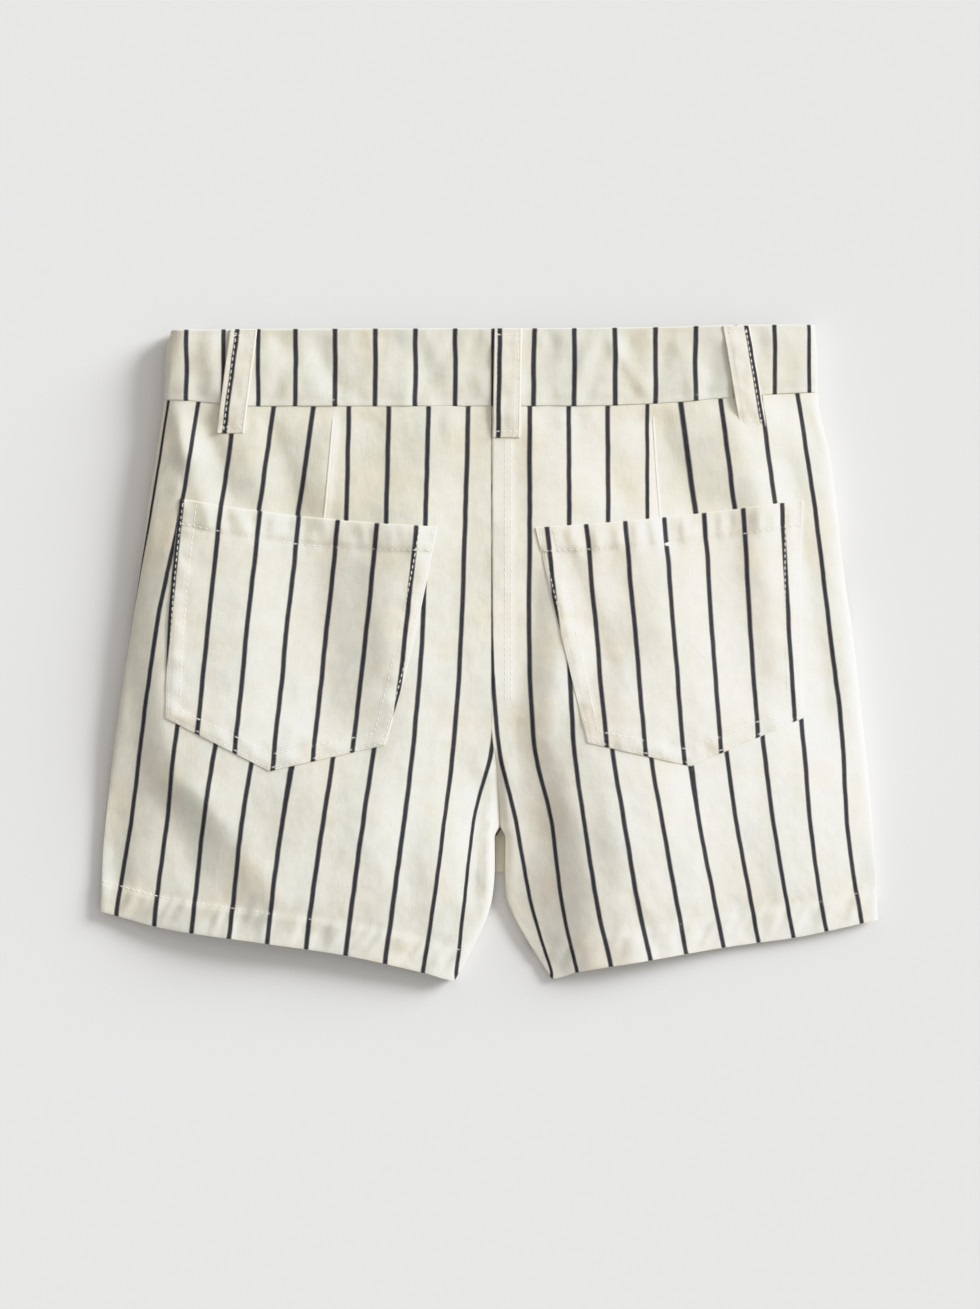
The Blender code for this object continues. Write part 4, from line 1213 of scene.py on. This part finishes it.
# The middle of a loop's two ends, then where its stripe and its two rows of stitching lie, from
# its left edge.
Loop = namedtuple("Loop", "name top_x top_y end_x end_y stripe left_row right_row")
LOOPS = (
    Loop(name="belt_loop_left", top_x=-122.4, top_y=161.6, end_x=-129.1, end_y=109.4,
         stripe=3.8, left_row=3.4, right_row=11.8),
    Loop(name="belt_loop_centre", top_x=9.7, top_y=161.9, end_x=8.8, end_y=107.2,
         stripe=2.7, left_row=1.3, right_row=12.0),
    Loop(name="belt_loop_right", top_x=123.6, top_y=163.4, end_x=131.9, end_y=112.9,
         stripe=11.8, left_row=1.8, right_row=11.4),
)
LOOP_WIDTH = 13.6
LOOP_WALL = 1.4
LOOP_CREAM = (0.800, 0.765, 0.655, 1.0)
LOOP_SUNK = 0.5          # a loop's pressed ends lie this deep in the cloth under them
LOOP_CLIMB = 0.25        # share of its length over which it climbs on the waistband
LOOP_ARCH = 1.0          # a loop stands this much off the band half way along
LOOP_GROOVE = 0.2        # depth of the cloth under its stitching,
LOOP_GROOVE_WIDTH = 0.8
LOOP_WORN = 0.25         # and of its unevenness
LOOP_TACK_IN = 3.2       # from a loop's end to the tack across it
LOOP_COLUMNS = 16
LOOP_ROWS = 48


def loop_place(loop):
    """The function that sets a back loop's grid in place."""

    def place(across, up):
        x = mix(loop.end_x, loop.top_x, up) + (across - 0.5) * LOOP_WIDTH
        y = mix(loop.end_y, loop.top_y, up)
        end_height = read(SECTIONS, "level", "height", loop.end_y)
        height = mix(end_height, BAND_TOP, ease(up / LOOP_CLIMB)) - LOOP_SUNK + LOOP_WALL
        height += LOOP_ARCH * ease((1.0 - np.abs(2.0 * up - 1.0)) * 2.0)
        for row in (loop.left_row, loop.right_row):
            height -= LOOP_GROOVE * swell(across * LOOP_WIDTH - row, LOOP_GROOVE_WIDTH)
        height += LOOP_WORN * drift(x, y, size=5.0, seed=3.7)
        return x, y, height + waist_form(x, y) - BAND_TOP

    return place


def loop_grain(loop):
    """The function that gives a point's place in a back loop's cloth."""

    def grain(x, y, middle_x, middle_y):
        up = (y - loop.end_y) / (loop.top_y - loop.end_y)
        left_edge = mix(loop.end_x, loop.top_x, up) - LOOP_WIDTH / 2.0
        return x - left_edge - loop.stripe, y

    return grain


def loop_rows(place, from_left, length, outwards_up=1.0):
    """A loop's two rows of stitching, so far from its left edge, and the tacks across its ends."""
    up = np.linspace(0.02, 0.98, 60)
    across = np.linspace(0.06, 0.94, 20)
    tack = LOOP_TACK_IN / length
    return ([row_up(place, off / LOOP_WIDTH, up, outwards_up) for off in from_left]
            + [row_across(place, across, share, outwards_up) for share in (tack, 1.0 - tack)])


loop_denim = striped_denim("loop_denim", LOOP_CREAM)
for loop in LOOPS:
    place = loop_place(loop)
    strap = cloth_shell("denim_" + loop.name, LOOP_COLUMNS, LOOP_ROWS, place, loop_grain(loop),
                        loop_denim, wall=LOOP_WALL, rounding=0.35)
    rows = loop_rows(place, (loop.left_row, loop.right_row), loop.top_y - loop.end_y)
    stitches = sew("stitches_" + loop.name, rows)
    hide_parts(loop.name)
    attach(strap, "root")

# ---------------------------------------------------------------- the front of the shorts
# Two panels like the back's, which lie under it and on the skirt. Little of them shows: their
# inner faces in the leg openings, and the hems.

# painted shade: the front's cream is warmer and yellower than the back's, for the warm bounced light in
# the dim leg openings and between the legs
FRONT_CREAM_WARM_SHADE = (0.800, 0.745, 0.600, 1.0)
CLOTH = 1.2              # wall of one panel's solid
GAP = 0.3                # between the solids of two layers
FRONT_DIP = 10.0         # the front of the waist is cut this much lower at the centre
WAIST_HALF = 160.0       # half the width of the waist
HALF_WIDTH = 195.0       # half the width at the hem
FRONT_SHORTER = 1.0      # the legs' front hems lie this much inside the back ones
BAND_LIFT = 1.3          # the front belt loops hold the waistband this far off the surface,
LIFTED = 15.0            # and the panels too, until this far below the waist seam;
LEVELLED = 35.0          # here they are down on it
SKIRT_HEM_CENTRE = -110.0
SKIRT_HEM_SIDE = -125.0
SKIRT_HEM_POWER = 1.5    # of its curve between them
SETTLING = 14.0          # this far past the skirt's hem the legs come down, over as much again
FRONT_COLUMNS = 52
FRONT_SIDE_COLUMNS = 10
FRONT_ROWS = 90


def front_dip(x):
    """How much lower the front's waist is cut than the back's."""
    return FRONT_DIP * np.maximum(0.0, 1.0 - ((x - CENTRE) / WAIST_HALF) ** 2)


def front_seam(x):
    """The level of the seam under the waistband's front."""
    return edge_line("seam", x) - front_dip(x)


def skirt_hem(x):
    """The level of the skirt's hem."""
    share = np.minimum(np.abs(x - CENTRE) / HALF_WIDTH, 1.0)
    return mix(SKIRT_HEM_CENTRE, SKIRT_HEM_SIDE, share ** SKIRT_HEM_POWER)


def lift(x, y):
    """How far the skirt lies off the surface."""
    below = front_seam(x) - y
    return BAND_LIFT * ease((LEVELLED - below) / (LEVELLED - LIFTED))


def front_surface(x, y):
    """Height of the outer face of the shorts' front, which lies on the skirt."""
    past_hem = skirt_hem(x) - y
    return lift(x, y) + (CLOTH + GAP) * (1.0 - ease((past_hem - SETTLING) / SETTLING))


def front_level(x, up):
    """The level of a row of a front panel's grid."""
    return mix(edge_line("hem", x) + FRONT_SHORTER, front_seam(x) + WAIST_TUCK, up)


def straight_grain(x, y, middle_x, middle_y):
    """A point's place in a cloth whose stripes run straight up from the hem."""
    return along_cloth(x, y) - CENTRE, y


front_denim = striped_denim("front_denim", FRONT_CREAM_WARM_SHADE)
front_shape = Shape(level_at=front_level, inset=CLOTH + GAP, height_at=front_surface,
                    has_fork=True)
for side in SIDES:
    place, columns = panel_place(side, front_shape, INNER_COLUMNS, FRONT_COLUMNS,
                                 FRONT_SIDE_COLUMNS)
    panel = cloth_shell("denim_front_" + side, columns, FRONT_ROWS, place, straight_grain,
                        front_denim, faces_up=False)
    stitches = sew("stitches_front_" + side, [hem_row(place, outwards_up=-1.0)])
    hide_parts("front_" + side)
    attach(panel, "root")

# ---------------------------------------------------------------- the skirt front
# Two panels that hang over the front of the shorts, joined down the middle and caught in the
# waist and side seams. They are lowest as the garment lies, flat on the surface.

SKIRT_COLUMNS = 56
SKIRT_ROWS = 80


def skirt_level(x, up):
    """The level of a row of a skirt panel's grid."""
    return mix(skirt_hem(x), front_seam(x) + WAIST_TUCK, up)


skirt_shape = Shape(level_at=skirt_level, inset=0.0, height_at=lift, has_fork=False)
for side in SIDES:
    place, columns = panel_place(side, skirt_shape, 0, SKIRT_COLUMNS, FRONT_SIDE_COLUMNS)
    panel = cloth_shell("denim_skirt_front_" + side, columns, SKIRT_ROWS, place, straight_grain,
                        front_denim, faces_up=False)
    stitches = sew("stitches_skirt_front_" + side, [hem_row(place, outwards_up=-1.0)])
    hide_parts("skirt_front_" + side)
    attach(panel, "root")

# ---------------------------------------------------------------- the waistband's front
# Two lengths of the same folded strip. The right one laps over the left one, on the outside, and
# has the buttonhole; both turn up to the back's length at the sides.

LAP = 12.0               # each length passes the centre by this,
LAP_FLAT = 14.0          # lies level this far on the other side of it,
LAP_END = 34.0           # and is back at the rest's height here
LAP_HEIGHT = {"right": 2.3, "left": 4.4}  # of each length's outer face there
LAP_COLUMNS = 26
FRONT_BAND_COLUMNS = 70
FRONT_TURN_COLUMNS = 8
FRONT_UNEVEN = 0.12
BUTTONHOLE_ENDS = (-3.0, 16.0)  # from the centre towards the side
BUTTONHOLE_HALF = 1.3    # from its slit to the middle of the stitches on both sides


def front_band_place(side):
    """The function that sets one length of the waistband's front in place."""
    outwards = SIDES[side]
    columns = LAP_COLUMNS + FRONT_BAND_COLUMNS + FRONT_TURN_COLUMNS

    def place(across, up):
        column = (across if side == "right" else 1.0 - across) * columns
        lapped = np.clip(column / LAP_COLUMNS, 0.0, 1.0)
        share = np.clip((column - LAP_COLUMNS) / FRONT_BAND_COLUMNS, 0.0, 1.0)
        out_reach, out_rise = turn(np.clip((columns - column) / FRONT_TURN_COLUMNS, 0.0, 1.0))
        x = np.full_like(column, CENTRE)
        for _ in range(SETTLE_STEPS):
            level = mix(front_seam(x), edge_line("top", x) - front_dip(x), up)
            end = outwards * (side_edge(side, level) - CENTRE)
            flat = end - BAND_TURN - LAP_END
            reach = mix(-LAP, LAP_END, lapped) + flat * share + BAND_TURN * (1.0 - out_reach)
            x = CENTRE + outwards * reach
        level_out = ease((LAP_END - reach) / (LAP_END - LAP_FLAT))
        height = mix(BAND_LIFT, LAP_HEIGHT[side], level_out)
        height -= FRONT_UNEVEN * drift(x, level * 0.6, size=12.0, seed=8.2)
        return x, level, mix(seam_form(x, level), height, out_rise)

    return place, columns


def buttonhole_rows(place, columns):
    """Close stitches on both sides of the buttonhole's slit, which runs away from the lap."""
    reach = np.linspace(*BUTTONHOLE_ENDS, 20)
    across = (reach + LAP) / (LAP_END + LAP) * LAP_COLUMNS / columns
    return [row_across(place, across, 0.5 + off / BAND_DEPTH, -1.0)
            for off in (-BUTTONHOLE_HALF, BUTTONHOLE_HALF)]


for side in SIDES:
    place, columns = front_band_place(side)
    length = cloth_shell("denim_waistband_front_" + side, columns, BAND_ROWS, place,
                         straight_grain, band_denim, wall=BAND_WALL, rounding=0.33, faces_up=False)
    along = np.linspace(0.01, 0.98, 220)
    rows = [row_across(place, along, share, -1.0) for share in BAND_STITCHES]
    lap_share = BAND_STITCH_IN / (LAP_END + LAP) * LAP_COLUMNS / columns
    if side == "left":
        lap_share = 1.0 - lap_share
    rows.append(row_up(place, lap_share, np.linspace(0.08, 0.92, 30), -1.0))
    stitches = [sew("stitches_waistband_front_" + side, rows)]
    if side == "right":
        stitches.append(sew("stitches_buttonhole", buttonhole_rows(place, columns), pitch=0.7,
                            length=0.62, width=2.4))
    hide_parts("waistband_front_" + side)
    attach(length, "root")

# ---------------------------------------------------------------- the fly's placket
# A plain facing inside the shorts, behind the centre-front seam, which takes the fly's opening. Two
# rows of stitching that bend round to the seam hold it, and show on the skirt front.

PLACKET_WIDTH = 34.0
PLACKET_LENGTH = 128.0
PLACKET_STITCH_IN = 2.5
PLACKET_UNEVEN = 0.1
PLACKET_COLUMNS = 14
PLACKET_ROWS = 50
FLY_REACH = 14.0         # from the centre-front seam to the fly's outer row
FLY_LENGTH = 108.0
FLY_BEND = 26.0          # length of the rows' bend
FLY_ROWS = (0.0, 6.0)    # how far each row lies inside the outer one


def placket_place(across, up):
    """Sets the placket's grid in place over the fronts."""
    x = CENTRE + (across - 0.5) * PLACKET_WIDTH
    level = mix(front_seam(x) - PLACKET_LENGTH, front_seam(x), up)
    uneven = PLACKET_UNEVEN * drift(x, level * 0.6, size=14.0, seed=5.9)
    return x, level, lift(x, level) + 2.0 * (CLOTH + GAP) + CLOTH + uneven


def fly_row(inset):
    """One of the fly's rows on the skirt front: straight down, then round to the centre seam."""
    reach, length = FLY_REACH - inset, FLY_LENGTH - inset
    start = front_seam(CENTRE) - 1.0
    down = np.linspace(start, start - length + FLY_BEND, 60)
    angle = np.linspace(0.0, math.pi / 2.0, 30)[1:]
    x = np.concatenate((np.full_like(down, CENTRE + reach), CENTRE + reach * np.cos(angle)))
    y = np.concatenate((down, start - length + FLY_BEND * (1.0 - np.sin(angle))))
    points, normals = row_over(lift, x, y)
    return points, -normals


placket = cloth_shell("denim_fly_placket", PLACKET_COLUMNS, PLACKET_ROWS, placket_place,
                      straight_grain, striped_denim("placket_denim"))
share = PLACKET_STITCH_IN / PLACKET_WIDTH
up = np.linspace(0.02, 0.98, 90)
rows = [row_up(placket_place, off, up) for off in (share, 1.0 - share)]
rows.append(row_across(placket_place, np.linspace(0.1, 0.9, 20), 0.02))
stitches = [sew("stitches_fly_placket", rows),
            sew("stitches_fly", [fly_row(inset) for inset in FLY_ROWS])]
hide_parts("fly_placket")
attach(placket, "root")

# ---------------------------------------------------------------- the waist button
# A plain brass-coloured button, pressed from sheet: a rim round a shallow dish with a low boss.
# A shank through the buttonhole fastens it to the left end of the waistband.

BUTTON_X = CENTRE
BUTTON_Y = 132.5

# Distances from the button's middle, and heights: over the rim from the wearer's side to the face.
BUTTON_PROFILE = ((0.0, 2.25), (3.2, 2.25), (3.4, 2.0), (7.9, 1.75), (8.4, 1.35), (8.5, 0.9),
                  (8.3, 0.35), (7.8, 0.08), (7.1, 0.05), (6.6, 0.28), (6.2, 0.62), (4.4, 0.70),
                  (3.9, 0.42), (3.2, 0.22), (0.0, 0.15))
BUTTON_STEPS = 64
BRASS_TONES = ((0.50, 0.40, 0.24, 1.0), (0.66, 0.56, 0.37, 1.0))
BRASS_ROUGHNESS = (0.26, 0.42)


def button_metal():
    """Old brass, a little uneven in colour and gloss."""
    material, tree, shader = new_material("button_brass")
    spots = object_noise(tree, 900.0)
    tree.links.new(blend_colours(tree, spots, *BRASS_TONES), shader.inputs["Base Color"])
    put(tree, shader.inputs["Roughness"], spread(tree, spots, 0.3, 0.7, *BRASS_ROUGHNESS))
    shader.inputs["Metallic"].default_value = 1.0
    return material


builder = bmesh.new()
profile = [builder.verts.new((BUTTON_X * MM + radius * MM, BUTTON_Y * MM, height * MM))
           for radius, height in BUTTON_PROFILE]
profile_edges = [builder.edges.new(pair) for pair in zip(profile, profile[1:])]
bmesh.ops.spin(builder, geom=profile + profile_edges, cent=(BUTTON_X * MM, BUTTON_Y * MM, 0.0),
               axis=(0.0, 0.0, 1.0), angle=2.0 * math.pi, steps=BUTTON_STEPS, use_merge=True)
bmesh.ops.remove_doubles(builder, verts=builder.verts[:], dist=0.001 * MM)
bmesh.ops.recalc_face_normals(builder, faces=builder.faces[:])
button = built("metal_waist_button", builder, button_metal())
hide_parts("waist_button")
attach(button, "root")

# ---------------------------------------------------------------- the front belt loops
# Two straps like the back's, of the same folded and stitched cloth. They are pressed flat between
# the waistband and the surface.

FRONT_LOOP_PLACE = 82.0  # from the centre to the middle of a loop
FRONT_LOOP_WALL = 1.0
FRONT_LOOP_ROWS = (2.2, LOOP_WIDTH - 2.2)  # from the left edge to each row of stitching
FRONT_LOOP_GROOVE = 0.12
FRONT_LOOP_STRIPE = 3.0  # from the middle of a loop to its stripe
LOOP_BELOW_SEAM = 14.7   # from the waist seam to a loop's lower end

for side, outwards in SIDES.items():
    middle = CENTRE + outwards * FRONT_LOOP_PLACE
    low = float(front_seam(np.array([middle]))[0]) - LOOP_BELOW_SEAM
    high = float((edge_line("top", np.array([middle])) - front_dip(middle))[0])

    def place(across, up, middle=middle, low=low, high=high):
        x = middle + (across - 0.5) * LOOP_WIDTH
        from_edge = np.minimum(across, 1.0 - across) * LOOP_WIDTH
        groove = FRONT_LOOP_GROOVE * swell(from_edge - FRONT_LOOP_ROWS[0], LOOP_GROOVE_WIDTH)
        return x, mix(low, high, up), groove

    def grain(x, y, middle_x, middle_y, middle=middle):
        return x - middle - FRONT_LOOP_STRIPE, y

    strap = cloth_shell("denim_belt_loop_front_" + side, LOOP_COLUMNS, LOOP_ROWS, place, grain,
                        loop_denim, wall=FRONT_LOOP_WALL, rounding=0.35, faces_up=False)
    stitches = sew("stitches_belt_loop_front_" + side,
                   loop_rows(place, FRONT_LOOP_ROWS, high - low, -1.0))
    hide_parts("belt_loop_front_" + side)
    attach(strap, "root")

# ---------------------------------------------------------------- floor, light and camera
# The pale surface that the garment lies on, a soft light from the upper right, and a camera
# straight above.

FLOOR_SIZE = 12.0        # metres
FLOOR_DROP = 0.1         # the floor lies this far under the garment
FLOOR_GREY = (0.80, 0.80, 0.80, 1.0)
KEY_BEARING = math.radians(29.0)    # from +X towards +Y
KEY_ELEVATION = math.radians(18.0)
KEY_SOFTNESS = math.radians(28.0)   # the angle that the light fills
KEY_STRENGTH = 4.52
KEY_COLOUR = (0.975, 1.0, 1.03)
SKY_STRENGTH = 0.56
SKY_SLOPE = 0.5          # how much brighter the sky is towards the light, and dimmer away from it
SKY_COLOUR = (1.03, 1.0, 0.96, 1.0)
HIGHLIGHTS = ((0.4, 0.4), (0.8, 0.8), (0.95, 0.88), (1.15, 0.93), (1.5, 0.98))
WHITE_FROM = 2.0         # all light above this shows as white
CAMERA_LENS = 120.0
CAMERA_HEIGHT = 2191.7
CAMERA_X = 0.625
CAMERA_Y = -0.875

builder = bmesh.new()
bmesh.ops.create_grid(builder, x_segments=1, y_segments=1, size=FLOOR_SIZE / 2.0,
                      matrix=Matrix.Translation((0.0, 0.0, -FLOOR_DROP * MM)))
floor_material, _, floor_shader = new_material("pale_floor")
floor_shader.inputs["Base Color"].default_value = FLOOR_GREY
floor_shader.inputs["Roughness"].default_value = 1.0
floor_shader.inputs["Specular IOR Level"].default_value = 0.0
floor = built("floor", builder, floor_material)

# brighter on the light's side and dimmer on the other
world = bpy.data.worlds.new("soft_sky")
world.use_nodes = True
sky_tree = world.node_tree
background = sky_tree.nodes["Background"]
background.inputs["Color"].default_value = SKY_COLOUR
towards = new_node(sky_tree, "ShaderNodeTexCoord").outputs["Generated"]
sky_parts = new_node(sky_tree, "ShaderNodeSeparateXYZ")
sky_tree.links.new(towards, sky_parts.inputs[0])
slope = SKY_STRENGTH * SKY_SLOPE
sky = maths(sky_tree, "MULTIPLY_ADD", sky_parts.outputs[0], slope * math.cos(KEY_BEARING),
            SKY_STRENGTH)
sky = maths(sky_tree, "MULTIPLY_ADD", sky_parts.outputs[1], slope * math.sin(KEY_BEARING), sky)
put(sky_tree, background.inputs["Strength"], sky)
bpy.context.scene.world = world

key = bpy.data.lights.new("key", "SUN")
key.energy = KEY_STRENGTH
key.color = KEY_COLOUR
key.angle = KEY_SOFTNESS
key_object = bpy.data.objects.new("key", key)
towards_light = Vector((math.cos(KEY_ELEVATION) * math.cos(KEY_BEARING),
                        math.cos(KEY_ELEVATION) * math.sin(KEY_BEARING), math.sin(KEY_ELEVATION)))
key_object.rotation_euler = towards_light.to_track_quat("Z", "Y").to_euler()
bpy.context.scene.collection.objects.link(key_object)

camera = bpy.data.cameras.new("camera")
camera.lens = CAMERA_LENS
camera_object = bpy.data.objects.new("camera", camera)
camera_object.location = (CAMERA_X * MM, CAMERA_Y * MM, CAMERA_HEIGHT * MM)
bpy.context.scene.collection.objects.link(camera_object)
bpy.context.scene.camera = camera_object

# bright cloth keeps its detail: the highlights are pressed together, and the rest is as it is
view = bpy.context.scene.view_settings
view.view_transform = "Standard"
view.use_curve_mapping = True
view.curve_mapping.clip_max_x = WHITE_FROM
highlights = view.curve_mapping.curves[3].points
highlights[0].location = (0.0, 0.0)
highlights[1].location = (WHITE_FROM, 1.0)
for bright, shown in HIGHLIGHTS:
    highlights.new(bright, shown)
view.curve_mapping.update()
